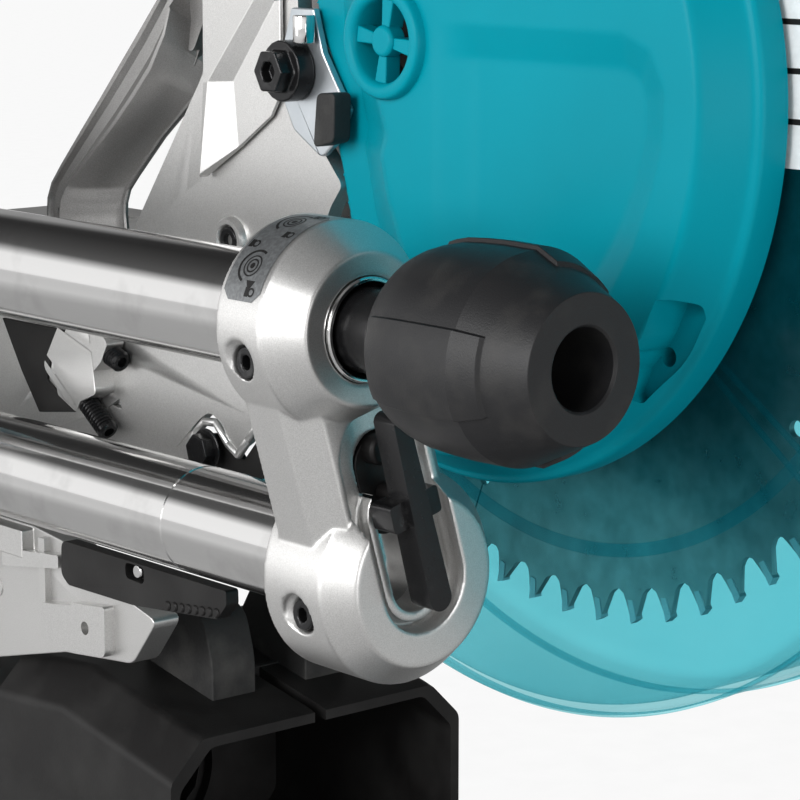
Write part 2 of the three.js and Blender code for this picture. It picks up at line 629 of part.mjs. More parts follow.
addPiece('motor_housing', motorHousing(), tealPlastic);
const capProfile = [[0, 146.4], [MOTOR_R, 146.4], [MOTOR_R, 158], [MOTOR_R - 8, 167], [0, 167]];
const motorCap = turned('X', [MOTOR_Y, MOTOR_Z], capProfile, 30);
addPiece('motor_cap', motorCap.subtract(disc('X', [MOTOR_Y, MOTOR_Z], 6.6, 140, 156, 20)), blackPlastic);
const armatureProfile = [
  [0, 34.6], [5.4, 34.6], [5.4, 92], [28, 96], [28, 134], [5.4, 138], [5.4, 154], [0, 154],
];
addPiece('motor_armature', turned('X', [MOTOR_Y, MOTOR_Z], armatureProfile, 24), blackSteel);

function mainHandle() {
  const outer = [
    [-40, 560], [-52, 612, 18], [-92, 655, 24], [-160, 652, 26], [-212, 606, 24], [-214, 566, 12],
    [-188, 530], [-120, 520],
  ];
  const grip = [
    [-74, 592, 12], [-84, 618, 12], [-108, 632, 12], [-150, 628, 14], [-186, 596, 14], [-182, 572, 8],
    [-150, 584, 10],
  ];
  let handle = plate('X', outer, -17, 17).subtract(plate('X', grip, -18, 18));
  handle = handle.subtract(disc('X', [BLADE_Y, BLADE_Z], 168, -40, 40, 52));
  handle = handle.subtract(box(-7, 7, -148, -118, 622, 644));
  return handle.subtract(box(-18, -8, -106, -92, 634, 646));
}

addPiece('main_handle', mainHandle(), blackPlastic);
const triggerSide = [[-146, 638], [-120, 638], [-120, 624, 3], [-134, 617, 6], [-146, 624, 3]];
addPiece('trigger', plate('X', triggerSide, -6, 6), tealPlastic);
addPiece('lock_off_button', box(-21, -11, -104, -94, 635, 645), blackPlastic);

function cordGland() {
  const profile = [[4, 0], [10, 0], [10, 6], [8, 8], [8, 16], [4, 16]];
  const axisStart = MOTOR_Y + MOTOR_R + CLEARANCE;
  return turned('Y', [122, MOTOR_Z], profile.map(([r, y]) => [r, y + axisStart]), 20);
}

addPiece('cord_gland', cordGland(), rubber);
const lockPin = [[0, 72], [4.6, 72], [4.6, 80.4], [6, 80.4], [6, 88], [0, 88]];
addPiece('spindle_lock_button', turned('X', BUTTON_AT, lockPin, 20), blackPlastic);

// ---- blade and lower guard ----
function bladeDisc() {
  const shape = new THREE.Shape();
  const pitch = Math.PI * 2 / TOOTH_COUNT;
  const phase = THREE.MathUtils.degToRad(-90 + 13.9);
  for (let i = 0; i < TOOTH_COUNT; i += 1) {
    const tip = phase - i * pitch;
    const corners = [
      [tip, BLADE_R], [tip - pitch * 0.3, BLADE_R - 1.4], [tip - pitch * 0.55, BLADE_R - 8],
      [tip - pitch * 0.9, BLADE_R - 8],
    ];
    for (const [angle, radius] of corners) {
      const point = [BLADE_Y + radius * Math.cos(angle), BLADE_Z + radius * Math.sin(angle)];
      if (shape.curves.length === 0 && shape.currentPoint.lengthSq() === 0) shape.moveTo(...point);
      else shape.lineTo(...point);
    }
  }
  return plate('X', shape, -1.15, 1.15).subtract(disc('X', [BLADE_Y, BLADE_Z], 12.5, -2, 2, 24));
}

addPiece('blade', bladeDisc(), polishedSteel);
const spindleProfile = [
  [0, -6], [28, -6], [28, -1.5], [12, -1.5], [12, 1.5], [28, 1.5], [28, 6], [8.4, 6], [8.4, 66], [0, 66],
];
const spindle = turned('X', [BLADE_Y, BLADE_Z], spindleProfile, 24);
addPiece('spindle', spindle.add(disc('X', [BLADE_Y, BLADE_Z], 10, -14, -5.9, 6)), blackSteel);

const GUARD_FROM = 153;
const GUARD_TO = 333;

function lowerGuard() {
  const full = disc('X', [GUARD_Y, GUARD_Z], GUARD_R, -28.4, 22.4, 52);
  const hollow = disc('X', [GUARD_Y, GUARD_Z], GUARD_R - 3, -25.4, 19.4, 52);
  const leftEye = disc('X', [BLADE_Y, BLADE_Z], 72, -29, -25, 36);
  const rightEye = disc('X', [BLADE_Y, BLADE_Z], 78, 19, 23, 36);
  const wedge = plate('X', sector([BLADE_Y, BLADE_Z], 190, GUARD_FROM, GUARD_TO, 20), -30, 24);
  const cup = full.subtract(hollow).subtract(leftEye).subtract(rightEye).intersect(wedge);
  const carrier = ring('X', [BLADE_Y, BLADE_Z], 63, 79, 19.4, 22.4, 36);
  return cup.add(carrier);
}

addPiece('lower_guard', lowerGuard(), clearTeal);

export default saw;
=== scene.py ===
"""Looks of a sliding miter saw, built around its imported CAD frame. Lengths in the helpers are in mm."""

import json
import math

import bmesh
import bpy
import numpy as np
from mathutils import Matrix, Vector


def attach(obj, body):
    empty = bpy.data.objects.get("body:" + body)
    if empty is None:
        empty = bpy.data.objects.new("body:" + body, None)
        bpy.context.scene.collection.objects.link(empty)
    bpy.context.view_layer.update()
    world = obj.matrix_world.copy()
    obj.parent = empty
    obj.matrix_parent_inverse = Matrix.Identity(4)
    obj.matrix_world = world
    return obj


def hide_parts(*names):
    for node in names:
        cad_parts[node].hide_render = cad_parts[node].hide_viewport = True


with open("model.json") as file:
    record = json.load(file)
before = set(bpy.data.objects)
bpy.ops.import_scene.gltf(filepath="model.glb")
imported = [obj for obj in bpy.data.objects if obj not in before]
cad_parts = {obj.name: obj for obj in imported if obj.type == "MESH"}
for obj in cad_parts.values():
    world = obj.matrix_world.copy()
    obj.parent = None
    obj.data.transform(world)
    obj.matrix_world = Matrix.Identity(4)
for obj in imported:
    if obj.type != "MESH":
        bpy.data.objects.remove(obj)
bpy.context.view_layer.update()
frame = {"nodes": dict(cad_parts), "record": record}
MM = 0.001
NODE_BODY = {
    node: body
    for body, nodes in frame["record"]["behaviour"]["bodies"].items()
    for node in nodes
}
NODE_SLOT = {part["node"]: part["material_slot"] for part in frame["record"]["subparts"]}

# ---- camera ----
CAMERA_AT = (-0.5418, -0.6182, 0.4882)
CAMERA_HEADING = 40.518
CAMERA_PITCH = 10.389
CAMERA_LENS = 128.78


def make_camera():
    data = bpy.data.cameras.new("camera")
    data.lens = CAMERA_LENS
    data.sensor_width = 36
    camera = bpy.data.objects.new("camera", data)
    camera.location = CAMERA_AT
    camera.rotation_euler = (math.radians(90 - CAMERA_PITCH), 0, math.radians(-CAMERA_HEADING))
    bpy.context.scene.collection.objects.link(camera)
    bpy.context.scene.camera = camera


make_camera()


# ---- material nodes ----
def set_stops(ramp, stops):
    """Gives a colour ramp its grey stops, each as (position, value)."""
    elements = ramp.color_ramp.elements
    while len(elements) < len(stops):
        elements.new(0.5)
    for element, (position, value) in zip(elements, stops):
        element.position = position
        element.color = (value, value, value, 1)


class Nodes:
    """A material's node tree with short calls for its usual nodes."""

    def __init__(self, name):
        self.material = bpy.data.materials.new(name)
        self.material.use_nodes = True
        self.tree = self.material.node_tree
        self.shader = self.tree.nodes["Principled BSDF"]
        self.place = self.tree.nodes.new("ShaderNodeTexCoord").outputs["Object"]

    def add(self, kind, **settings):
        node = self.tree.nodes.new(kind)
        for key, value in settings.items():
            setattr(node, key, value)
        return node

    def link(self, source, target):
        self.tree.links.new(source, target)

    def stretched(self, scale):
        node = self.add("ShaderNodeMapping")
        node.inputs["Scale"].default_value = scale
        self.link(self.place, node.inputs["Vector"])
        return node.outputs["Vector"]

    def noise(self, scale, detail=4, stretch=None, roughness=0.55):
        node = self.add("ShaderNodeTexNoise")
        node.inputs["Scale"].default_value = scale
        node.inputs["Detail"].default_value = detail
        node.inputs["Roughness"].default_value = roughness
        vector = self.stretched(stretch) if stretch else self.place
        self.link(vector, node.inputs["Vector"])
        return node.outputs["Fac"]

    def ramp(self, source, *stops):
        node = self.add("ShaderNodeValToRGB")
        set_stops(node, stops)
        self.link(source, node.inputs["Fac"])
        return node.outputs["Color"]

    def spread(self, source, low, high, start=0, end=1):
        """Stretches a value's range from start and end to low and high."""
        node = self.add("ShaderNodeMapRange")
        node.inputs["From Min"].default_value = start
        node.inputs["From Max"].default_value = end
        node.inputs["To Min"].default_value = low
        node.inputs["To Max"].default_value = high
        self.link(source, node.inputs["Value"])
        return node.outputs["Result"]

    def blend(self, share, first, second):
        node = self.add("ShaderNodeMix", data_type="RGBA")
        for value, socket in ((share, node.inputs[0]), (first, node.inputs[6]), (second, node.inputs[7])):
            if isinstance(value, (int, float)):
                socket.default_value = value
            elif isinstance(value, tuple):
                socket.default_value = (*value, 1)
            else:
                self.link(value, socket)
        return node.outputs[2]

    def mottle(self, source, low, high, first, second):
        """A colour that goes from first to second as source goes from low to high."""
        return self.blend(self.ramp(source, (low, 0), (high, 1)), first, second)

    def show_mixed(self, share, first, second):
        """Shows the first shader and, by share, the second."""
        mixed = self.add("ShaderNodeMixShader")
        for source, socket in zip((share, first, second), mixed.inputs):
            self.link(source, socket)
        self.link(mixed.outputs[0], self.tree.nodes["Material Output"].inputs["Surface"])

    def bump(self, source, strength, distance, after=None):
        node = self.add("ShaderNodeBump")
        node.inputs["Strength"].default_value = strength
        node.inputs["Distance"].default_value = distance * MM
        self.link(source, node.inputs["Height"])
        if after:
            self.link(after, node.inputs["Normal"])
        return node.outputs["Normal"]

    def finish(self, colour=None, roughness=None, normal=None, metallic=None, **fixed):
        linked = {"Base Color": colour, "Roughness": roughness, "Normal": normal, "Metallic": metallic}
        for name, source in linked.items():
            if isinstance(source, (int, float)):
                self.shader.inputs[name].default_value = source
            elif source is not None:
                self.link(source, self.shader.inputs[name])
        for name, value in fixed.items():
            self.shader.inputs[name.replace("_", " ")].default_value = value
        return self.material


def silver_paint():
    n = Nodes("silver_paint")
    fleck = n.noise(3400, 2)
    broad = n.noise(30, 3)
    colour = n.mottle(fleck, 0.3, 0.7, (0.52, 0.515, 0.505), (0.68, 0.675, 0.665))
    colour = n.blend(n.ramp(broad, (0.4, 0), (0.8, 0.2)), colour, (0.45, 0.45, 0.45))
    roughness = n.spread(fleck, 0.30, 0.40)
    normal = n.bump(fleck, 0.25, 0.05, n.bump(broad, 0.1, 0.3))
    return n.finish(colour, roughness, normal, 0.88)


# The silver paint made darker for the carry loop: the darkness is painted shade.
def silver_paint_painted_shade():
    n = Nodes("silver_paint_painted_shade")
    fleck = n.noise(3000, 2)
    broad = n.noise(40, 4)
    colour = n.mottle(fleck, 0.3, 0.7, (0.24, 0.235, 0.23), (0.34, 0.335, 0.33))
    colour = n.blend(n.ramp(broad, (0.4, 0), (0.8, 0.3)), colour, (0.2, 0.2, 0.2))
    return n.finish(colour, n.spread(fleck, 0.30, 0.40), n.bump(fleck, 0.25, 0.05), 0.88)


def cast_aluminium():
    n = Nodes("cast_aluminium")
    grain = n.noise(900, 5)
    broad = n.noise(18, 4)
    colour = n.mottle(grain, 0.35, 0.7, (0.40, 0.40, 0.405), (0.57, 0.57, 0.575))
    colour = n.blend(n.ramp(broad, (0.45, 0), (0.75, 0.4)), colour, (0.28, 0.28, 0.285))
    roughness = n.spread(grain, 0.36, 0.55)
    normal = n.bump(grain, 0.3, 0.15, n.bump(broad, 0.15, 0.5))
    return n.finish(colour, roughness, normal, 0.8)


def polished_steel():
    n = Nodes("polished_steel")
    streaks = n.noise(1.0, 4, (700, 5, 700))
    wear = n.noise(40, 6)
    marks = n.ramp(wear, (0.52, 0), (0.72, 1))
    colour = n.blend(marks, (0.66, 0.655, 0.65), (0.54, 0.535, 0.53))
    roughness = n.spread(n.blend(0.35, streaks, wear), 0.04, 0.16)
    return n.finish(colour, roughness, n.bump(streaks, 0.03, 0.02), 1.0)


def blade_steel():
    n = Nodes("blade_steel")
    grain = n.noise(1.0, 5, (900, 120, 120))
    stain = n.noise(25, 4)
    colour = n.mottle(grain, 0.35, 0.7, (0.27, 0.27, 0.27), (0.42, 0.42, 0.415))
    colour = n.blend(n.ramp(stain, (0.5, 0), (0.8, 0.5)), colour, (0.15, 0.14, 0.13))
    return n.finish(colour, n.spread(grain, 0.22, 0.38), n.bump(grain, 0.1, 0.05), 0.95)


def zinc_plate():
    n = Nodes("zinc_plate")
    broad = n.noise(35, 5)
    grain = n.noise(700, 4)
    colour = n.mottle(broad, 0.35, 0.7, (0.44, 0.48, 0.51), (0.60, 0.63, 0.66))
    return n.finish(colour, n.spread(grain, 0.26, 0.38), n.bump(grain, 0.08, 0.05), 0.85)


def black_steel():
    n = Nodes("black_steel")
    grain = n.noise(900, 4)
    worn = n.noise(140, 6)
    colour = n.mottle(worn, 0.6, 0.78, (0.014, 0.014, 0.015), (0.06, 0.06, 0.06))
    return n.finish(colour, n.spread(grain, 0.18, 0.32), n.bump(grain, 0.12, 0.06), 0.5)


def black_plastic():
    n = Nodes("black_plastic")
    grain = n.noise(1300, 3)
    scuff = n.noise(45, 6)
    colour = n.mottle(scuff, 0.45, 0.8, (0.0065, 0.006, 0.006), (0.018, 0.0175, 0.017))
    normal = n.bump(grain, 0.35, 0.1)
    return n.finish(colour, n.spread(scuff, 0.42, 0.6), normal, 0.0, Specular_IOR_Level=0.26)


def knob_grip():
    n = Nodes("knob_grip")
    grain = n.noise(2300, 2)
    scuff = n.noise(90, 6)
    colour = n.mottle(scuff, 0.5, 0.8, (0.010, 0.010, 0.011), (0.026, 0.025, 0.024))
    normal = n.bump(grain, 0.5, 0.1)
    return n.finish(colour, n.spread(scuff, 0.42, 0.56), normal, 0.0, Specular_IOR_Level=0.34)


def teal_case():
    n = Nodes("teal_plastic")
    grain = n.noise(1900, 2)
    broad = n.noise(12, 3)
    colour = n.mottle(broad, 0.35, 0.7, (0.0, 0.218, 0.28), (0.0, 0.246, 0.315))
    normal = n.bump(grain, 0.22, 0.08)
    return n.finish(colour, n.spread(grain, 0.3, 0.42), normal, 0.0, Specular_IOR_Level=0.07)


def clear_teal():
    """Tinted see-through plastic: the tint passes straight through, and a thin clear gloss lies on it."""
    n = Nodes("clear_teal")
    smear = n.noise(9, 5)
    tint = n.mottle(smear, 0.35, 0.7, (0.62, 0.91, 0.94), (0.70, 0.94, 0.965))
    n.finish(n.blend(smear, (0.0, 0.16, 0.21), (0.0, 0.22, 0.28)), n.spread(smear, 0.04, 0.14), None, 0.0)
    clear = n.add("ShaderNodeBsdfTransparent")
    n.link(tint, clear.inputs["Color"])
    edge = n.add("ShaderNodeLayerWeight")
    edge.inputs["Blend"].default_value = 0.25
    share = n.spread(edge.outputs["Facing"], 0.01, 0.42)
    n.show_mixed(share, clear.outputs[0], n.shader.outputs[0])
    return n.material


def rubber():
    n = Nodes("rubber")
    grain = n.noise(1100, 4)
    dust = n.noise(60, 5)
    colour = n.mottle(dust, 0.5, 0.8, (0.012, 0.012, 0.012), (0.05, 0.048, 0.045))
    return n.finish(colour, n.spread(grain, 0.6, 0.82), n.bump(grain, 0.3, 0.15), 0.0)


def decal_film():
    n = Nodes("decal_film")
    speck = n.noise(900, 3)
    colour = n.mottle(speck, 0.4, 0.65, (0.14, 0.145, 0.15), (0.20, 0.21, 0.215))
    return n.finish(colour, n.spread(speck, 0.3, 0.42), None, 0.5)


def label_film():
    n = Nodes("label_film")
    speck = n.noise(500, 4)
    colour = n.mottle(speck, 0.4, 0.7, (0.70, 0.73, 0.74), (0.78, 0.81, 0.82))
    return n.finish(colour, n.spread(speck, 0.3, 0.4), None, 0.0)


FINISH = {
    make.__name__: make()
    for make in (
        cast_aluminium, silver_paint, silver_paint_painted_shade, polished_steel, blade_steel, zinc_plate, black_steel,
        black_plastic, knob_grip, teal_case, clear_teal, rubber, decal_film, label_film,
    )
}


# ---- mesh helpers ----
dressed = set()


def new_object(name, mesh):
    made = bpy.data.objects.new(name, mesh)
    bpy.context.scene.collection.objects.link(made)
    return made


def mesh_of(name, bm):
    mesh = bpy.data.meshes.new(name)
    bm.to_mesh(mesh)
    bm.free()
    return mesh


def node_mesh(node):
    """A copy of a CAD node's mesh with its corners joined and its flat faces whole."""
    bm = bmesh.new()
    bm.from_mesh(frame["nodes"][node].data)
    bmesh.ops.remove_doubles(bm, verts=bm.verts, dist=1e-6)
    bmesh.ops.dissolve_limit(bm, angle_limit=math.radians(0.6), verts=bm.verts, edges=bm.edges)
    return mesh_of(node + "_look", bm)


def dress(made, node, finish, bevel, sharp=34, segments=2, stands=True, slot=None):
    """Bevels a piece's sharp edges, smooths the rest, and gives it its finish and body; a piece that stands
    for its CAD node hides that node.
    """
    made.data.polygons.foreach_set("use_smooth", [True] * len(made.data.polygons))
    made.data.set_sharp_from_angle(angle=math.radians(sharp))
    if bevel:
        edge = made.modifiers.new("bevel", "BEVEL")
        edge.width = bevel * MM
        edge.segments = segments
        edge.limit_method = "ANGLE"
        edge.angle_limit = math.radians(sharp)
        edge.harden_normals = True
        edge.miter_outer = "MITER_ARC"
    made.data.materials.clear()
    made.data.materials.append(FINISH[finish])
    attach(made, NODE_BODY[node])
    if stands:
        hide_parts(node)
        dressed.add(node)


def trim(made, node, finish, bevel, **more):
    """Dresses a piece that is added to a node and doesn't stand for it."""
    dress(made, node, finish, bevel, stands=False, **more)


def fitting(made, node, finish, bevel):
    """Dresses an added piece whose material is another than its node's."""
    trim(made, node, finish, bevel, slot=finish)


def copied(node):
    return new_object(node + "_look", node_mesh(node))


# ---- shape helpers ----
def rounded(corners, steps=6):
    """An outline with rounded corners: a corner is (a, b), or (a, b, radius)."""
    points = []
    count = len(corners)
    for i, corner in enumerate(corners):
        here = Vector(corner[:2])
        radius = corner[2] if len(corner) > 2 else 0
        before = Vector(corners[i - 1][:2]) - here
        after = Vector(corners[(i + 1) % count][:2]) - here
        if radius == 0:
            points.append(tuple(here))
            continue
        half = before.angle(after) / 2
        reach = min(radius / math.tan(half), before.length * 0.48, after.length * 0.48)
        start = here + before.normalized() * reach
        end = here + after.normalized() * reach
        for k in range(steps + 1):
            t = k / steps
            points.append(tuple(start * (1 - t) ** 2 + here * 2 * t * (1 - t) + end * t**2))
    return points


def placed(axis, a, b, along):
    """The point at (a, b) across an axis and along it, in metres."""
    order = {"X": (along, a, b), "Y": (a, along, b), "Z": (a, b, along)}
    return Vector(order[axis]) * MM


def bridged(name, rings, closed_ends=True):
    """A body from rings of points, each ring joined to the next."""
    bm = bmesh.new()
    loops = [[bm.verts.new(point) for point in ring] for ring in rings]
    for low, high in zip(loops, loops[1:]):
        for i in range(len(low)):
            j = (i + 1) % len(low)
            bm.faces.new((low[i], low[j], high[j], high[i]))
    if closed_ends:
        bm.faces.new(loops[0][::-1])
        bm.faces.new(loops[-1])
    bmesh.ops.recalc_face_normals(bm, faces=bm.faces)
    return new_object(name, mesh_of(name, bm))


def plate(axis, corners, low, high, steps=6, name="plate"):
    outline = rounded(corners, steps)
    return bridged(name, [[placed(axis, a, b, level) for a, b in outline] for level in (low, high)])


def turned(axis, centre, profile, sides=96, name="turned", closed=False):
    """A body turned about a line along an axis through centre; profile points are (radius, along)."""
    rings = []
    for radius, along in profile:
        ring = []
        for k in range(sides):
            turn = 2 * math.pi * k / sides
            a = centre[0] + max(radius, 0.01) * math.cos(turn)
            b = centre[1] + max(radius, 0.01) * math.sin(turn)
            ring.append(placed(axis, a, b, along))
        rings.append(ring)
    if closed:
        rings.append(rings[0])
    return bridged(name, rings, not closed)


def rod(axis, centre, radius, low, high, sides=32):
    return turned(axis, centre, [(0, low), (radius, low), (radius, high), (0, high)], sides)


def around(centre, radius, degrees):
    turn = math.radians(degrees)
    return centre[0] + radius * math.cos(turn), centre[1] + radius * math.sin(turn)


def radial(centre, degrees, points):
    """Places (outward, sideways) points about a centre, turned by an angle."""
    cos, sin = math.cos(math.radians(degrees)), math.sin(math.radians(degrees))
    return [(centre[0] + cos * r - sin * w, centre[1] + sin * r + cos * w) for r, w in points]


def arc(centre, radius, start, end, steps):
    """Points along an arc; angles are in degrees from the first axis."""
    return [around(centre, radius, start + (end - start) * k / steps) for k in range(steps + 1)]


def band(centre, inner, outer, start, end, steps=48):
    return arc(centre, outer, start, end, steps) + arc(centre, inner, end, start, steps)


def baked(made):
    """Puts the result of a piece's modifiers in its mesh."""
    graph = bpy.context.evaluated_depsgraph_get()
    mesh = bpy.data.meshes.new_from_object(made.evaluated_get(graph))
    old = made.data
    made.modifiers.clear()
    made.data = mesh
    bpy.data.meshes.remove(old)
    return made


def combined(first, others, operation):
    for other in others:
        step = first.modifiers.new("combine", "BOOLEAN")
        step.operation = operation
        step.solver = "MANIFOLD"
        step.object = other
    baked(first)
    for other in others:
        bpy.data.meshes.remove(other.data)
    return first


def joined(first, *others):
    return combined(first, others, "UNION")


def cut(first, *others):
    return combined(first, others, "DIFFERENCE")


def cast(made, voxel, rounds):
    """Remeshes a body and smooths it, which gives it the soft corners of a casting."""
    step = made.modifiers.new("remesh", "REMESH")
    step.mode = "VOXEL"
    step.voxel_size = voxel * MM
    soft = made.modifiers.new("soft", "SMOOTH")
    soft.factor = 0.5
    soft.iterations = rounds
    return baked(made)


def merged(name, parts):
    """One object from several separate bodies."""
    bm = bmesh.new()
    for part in parts:
        bm.from_mesh(part.data)
        bpy.data.meshes.remove(part.data)
    return new_object(name, mesh_of(name, bm))


# ---- rails, end block, latch and slide lock knob ----
UPPER_RAIL = (-103, 380)
LOWER_RAIL = (-84, 314)
NECK_TILT = math.atan2(LOWER_RAIL[0] - UPPER_RAIL[0], UPPER_RAIL[1] - LOWER_RAIL[1])
NECK_LENGTH = math.dist(UPPER_RAIL, LOWER_RAIL)


def neck_point(along, aside):
    """A point beside the line from the upper rail to the lower one."""
    x = UPPER_RAIL[0] + along * math.sin(NECK_TILT) + aside * math.cos(NECK_TILT)
    z = UPPER_RAIL[1] - along * math.cos(NECK_TILT) + aside * math.sin(NECK_TILT)
    return x, z


def neck_capsule(start, end, half):
    """An outline along the neck with round ends."""
    lean = math.degrees(NECK_TILT)
    low = arc(neck_point(end, 0), half, 180 + lean, 360 + lean, 24)
    high = arc(neck_point(start, 0), half, lean, 180 + lean, 24)
    return low + high


def rails():
    for name, centre, front in (("upper_pole", UPPER_RAIL, -88.6), ("lower_pole", LOWER_RAIL, -78)):
        profile = [(0, front), (14.4, front), (15, front + 0.6), (15, 384.2), (14.2, 385), (0, 385)]
        if name == "lower_pole":
            profile[3:3] = [(15, -0.7), (14.75, -0.4), (14.75, 0.1), (15, 0.4)]
        else:
            profile[0] = (12.2, front)
            profile[-1] = (12.2, 385)
        rail = turned("Y", centre, profile, 128, name + "_look", closed=name == "upper_pole")
        dress(rail, name, "polished_steel", 0)


def end_block():
    upper = turned("Y", UPPER_RAIL, [(0, -66), (26, -66), (26, -83), (19.2, -93), (0, -93)])
    lower = turned("Y", LOWER_RAIL, [(0, -62), (27.9, -62), (27.9, -84.5), (22, -92), (0, -92)])
    section = [(-22, -66), (-22, -79.5), (-15.5, -87), (15.5, -87), (22, -79.5), (22, -66)]
    rings = []
    for along in (4, NECK_LENGTH - 4):
        ring = []
        for aside, y in section:
            x, z = neck_point(along, aside)
            ring.append(Vector((x, y, z)) * MM)
        rings.append(ring)
    block = joined(upper, lower, bridged("neck", rings))
    panel = plate("Y", neck_capsule(34, NECK_LENGTH, 13.2), -95, -84.3)
    slot = plate("Y", neck_capsule(36, NECK_LENGTH + 1, 7.5), -95, -69)
    seat = turned("Y", UPPER_RAIL, [(0, -96), (13.2, -96), (13.2, -88), (11.4, -88), (11.4, -64), (0, -64)])
    block = cut(block, panel, slot, seat)
    lip = cut(
        plate("Y", neck_capsule(50, NECK_LENGTH + 1, 10.2), -88.4, -80),
        plate("Y", neck_capsule(46, NECK_LENGTH + 1, 7.5), -95, -69),
    )
    block = joined(block, lip)
    for x, z in (UPPER_RAIL, LOWER_RAIL):
        hole = [(0, x - 40), (5.9, x - 40), (5.9, x - 25.4), (4.4, x - 23.6), (4.4, x - 16), (0, x - 16)]
        block = cut(block, turned("X", (-74, z - 8), hole, 48))
    block = cast(block, 0.45, 6)
    block.name = "end_block_look"
    dress(block, "end_block", "silver_paint", 0)


def bore_ring():
    profile = [(11.5, -88.2), (13.1, -88.2), (13.1, -93.4), (12.7, -93.9), (12, -93.9), (11.5, -93.4)]
    ring = turned("Y", UPPER_RAIL, profile, 96, "bore_ring", closed=True)
    trim(ring, "end_block", "polished_steel", 0.15)


DECAL_RADIUS = 26.1
SIGN_RADIUS = DECAL_RADIUS + 0.06


def wrapped(radius, rows):
    """A strip on a cylinder round the upper rail; each row is two (arc length, y) points."""
    bm = bmesh.new()
    pairs = []
    for row in rows:
        pair = []
        for length, y in row:
            spot = around(UPPER_RAIL, radius, math.degrees(length / radius))
            pair.append(bm.verts.new(placed("Y", *spot, y)))
        pairs.append(pair)
    for (a, b), (c, d) in zip(pairs, pairs[1:]):
        bm.faces.new((a, b, d, c))
    return new_object("wrapped", mesh_of("wrapped", bm))


def wrapped_arc(middle, inner, outer, start, end):
    return wrapped(SIGN_RADIUS, zip(arc(middle, inner, start, end, 32), arc(middle, outer, start, end, 32)))


def wrapped_patch(middle, *rows):
    """A four-sided sign; each row is (along from the middle, low, high)."""
    length, y = middle
    pairs = [[(length + along, y + low), (length + along, y + high)] for along, low, high in rows]
    return wrapped(SIGN_RADIUS, pairs)


def decal():
    """A film on the end block's collar with generic turn and lock signs."""
    rows = []
    for k in range(41):
        length = 41.5 + 33 * k / 40
        shrink = 2.5 * max(0, abs(k - 20) - 17) / 3
        rows.append([(length, -81.6 + shrink), (length, -67.4 - shrink)])
    trim(wrapped(DECAL_RADIUS, rows), "end_block", "decal_film", 0)
    signs = []
    for middle in ((65.4, -74.6), (48.5, -73.8)):
        for inner, outer in ((0, 0.8), (1.5, 1.95), (2.6, 3.0)):
            signs.append(wrapped_arc(middle, inner, outer, 0, 360))
        signs.append(wrapped_arc(middle, 4.1, 4.8, 20, 210))
    for middle in ((72.2, -78), (59, -70.6), (54.5, -79), (43.6, -78.2)):
        signs.append(wrapped_arc(middle, 0.7, 1.2, 0, 360))
        signs.append(wrapped_patch(middle, (-1.2, 0.9, 2.4), (1.2, 0.9, 2.4)))
    signs.append(wrapped_patch((69.9, -76.6), (-0.6, -1.7, 1.7), (2.2, -0.1, 0.1)))
    trim(merged("turn_signs", signs), "end_block", "black_plastic", 0)


def latch():
    foot, head = (-86.4, 312), (-99, 357)
    lean = math.degrees(math.atan2(head[1] - foot[1], head[0] - foot[0]))
    outline = arc(foot, 3.5, lean + 90, lean + 270, 12) + arc(head, 2.7, lean - 70, lean + 70, 8)
    bar = plate("Y", outline, -101, -93.2)
    along = Vector(head) - Vector(foot)
    along.normalize()
    across = Vector((-along.y, along.x))
    middle = Vector((-92.8, 335))
    ears = []
    for low, high in ((-7.8, -2.4), (2.4, 8)):
        ends = (-3.6, low), (3.6, low), (3.6, high), (-3.6, high)
        corners = [middle + along * reach + across * aside for reach, aside in ends]
        ears.append(plate("Y", [(*corner, 1.2) for corner in corners], -99, -91.2))
    bar = joined(bar, *ears)
    bar.name = "latch_lever_look"
    dress(bar, "latch_lever", "black_steel", 1.1, segments=3)
    seat = plate("Y", neck_capsule(37, 49, 7.2), -84, -72)
    screw = turned("Y", neck_point(33, 0), [(0, -88), (3.2, -88), (4, -87), (4, -80), (0, -80)], 40)
    pin = rod("Y", neck_point(45, 0), 2.6, -90.3, -80)
    inner = merged("latch_seat", [seat, screw, pin])
    fitting(inner, "end_block", "black_plastic", 0.4)


PANEL_STARTS = (38, 158, 278)
PANEL_SWEEP = 49
PANEL_RISE = 1.1


def lock_knob():
    """A knob with three raised grip panels; each ring is (y, radius, share of the panels' rise)."""
    rings = (
        (-113.6, 16, 0), (-114.2, 18.4, 0), (-116, 20.6, 0), (-118, 22, 0), (-120, 22.9, 0), (-120.4, 23, 1),
        (-123, 23.8, 1), (-127, 24.6, 1), (-133, 25, 1), (-140, 25.2, 1), (-150.6, 25, 1),
        (-157.2, 22.1, 1), (-157.5, 22, 0), (-168, 17.4, 0), (-168, 10.2, 0), (-167.4, 9.6, 0),
        (-142, 9.2, 0), (-141, 0.05, 0),
    )
    turns = []
    for start in PANEL_STARTS:
        turns += [(start, 0), (start + 0.9, 1)]
        turns += [(start + 0.9 + (PANEL_SWEEP - 1.8) * k / 15, 1) for k in range(1, 16)]
        turns += [(start + PANEL_SWEEP, 0)]
        turns += [(start + PANEL_SWEEP + (120 - PANEL_SWEEP) * k / 20, 0) for k in range(1, 20)]
    loops = []
    for y, radius, rise in rings:
        loop = []
        for turn, raised in turns:
            loop.append(placed("Y", *around(UPPER_RAIL, radius + PANEL_RISE * rise * raised, turn), y))
        loops.append(loop)
    body = bridged("body", loops)
    stem = turned("Y", UPPER_RAIL, [(0, -80), (10.4, -80), (10.4, -112), (12.5, -114), (0, -114)], 64)
    dress(merged("lock_knob_look", [body, stem]), "bevel_knob", "knob_grip", 0.3, sharp=19)


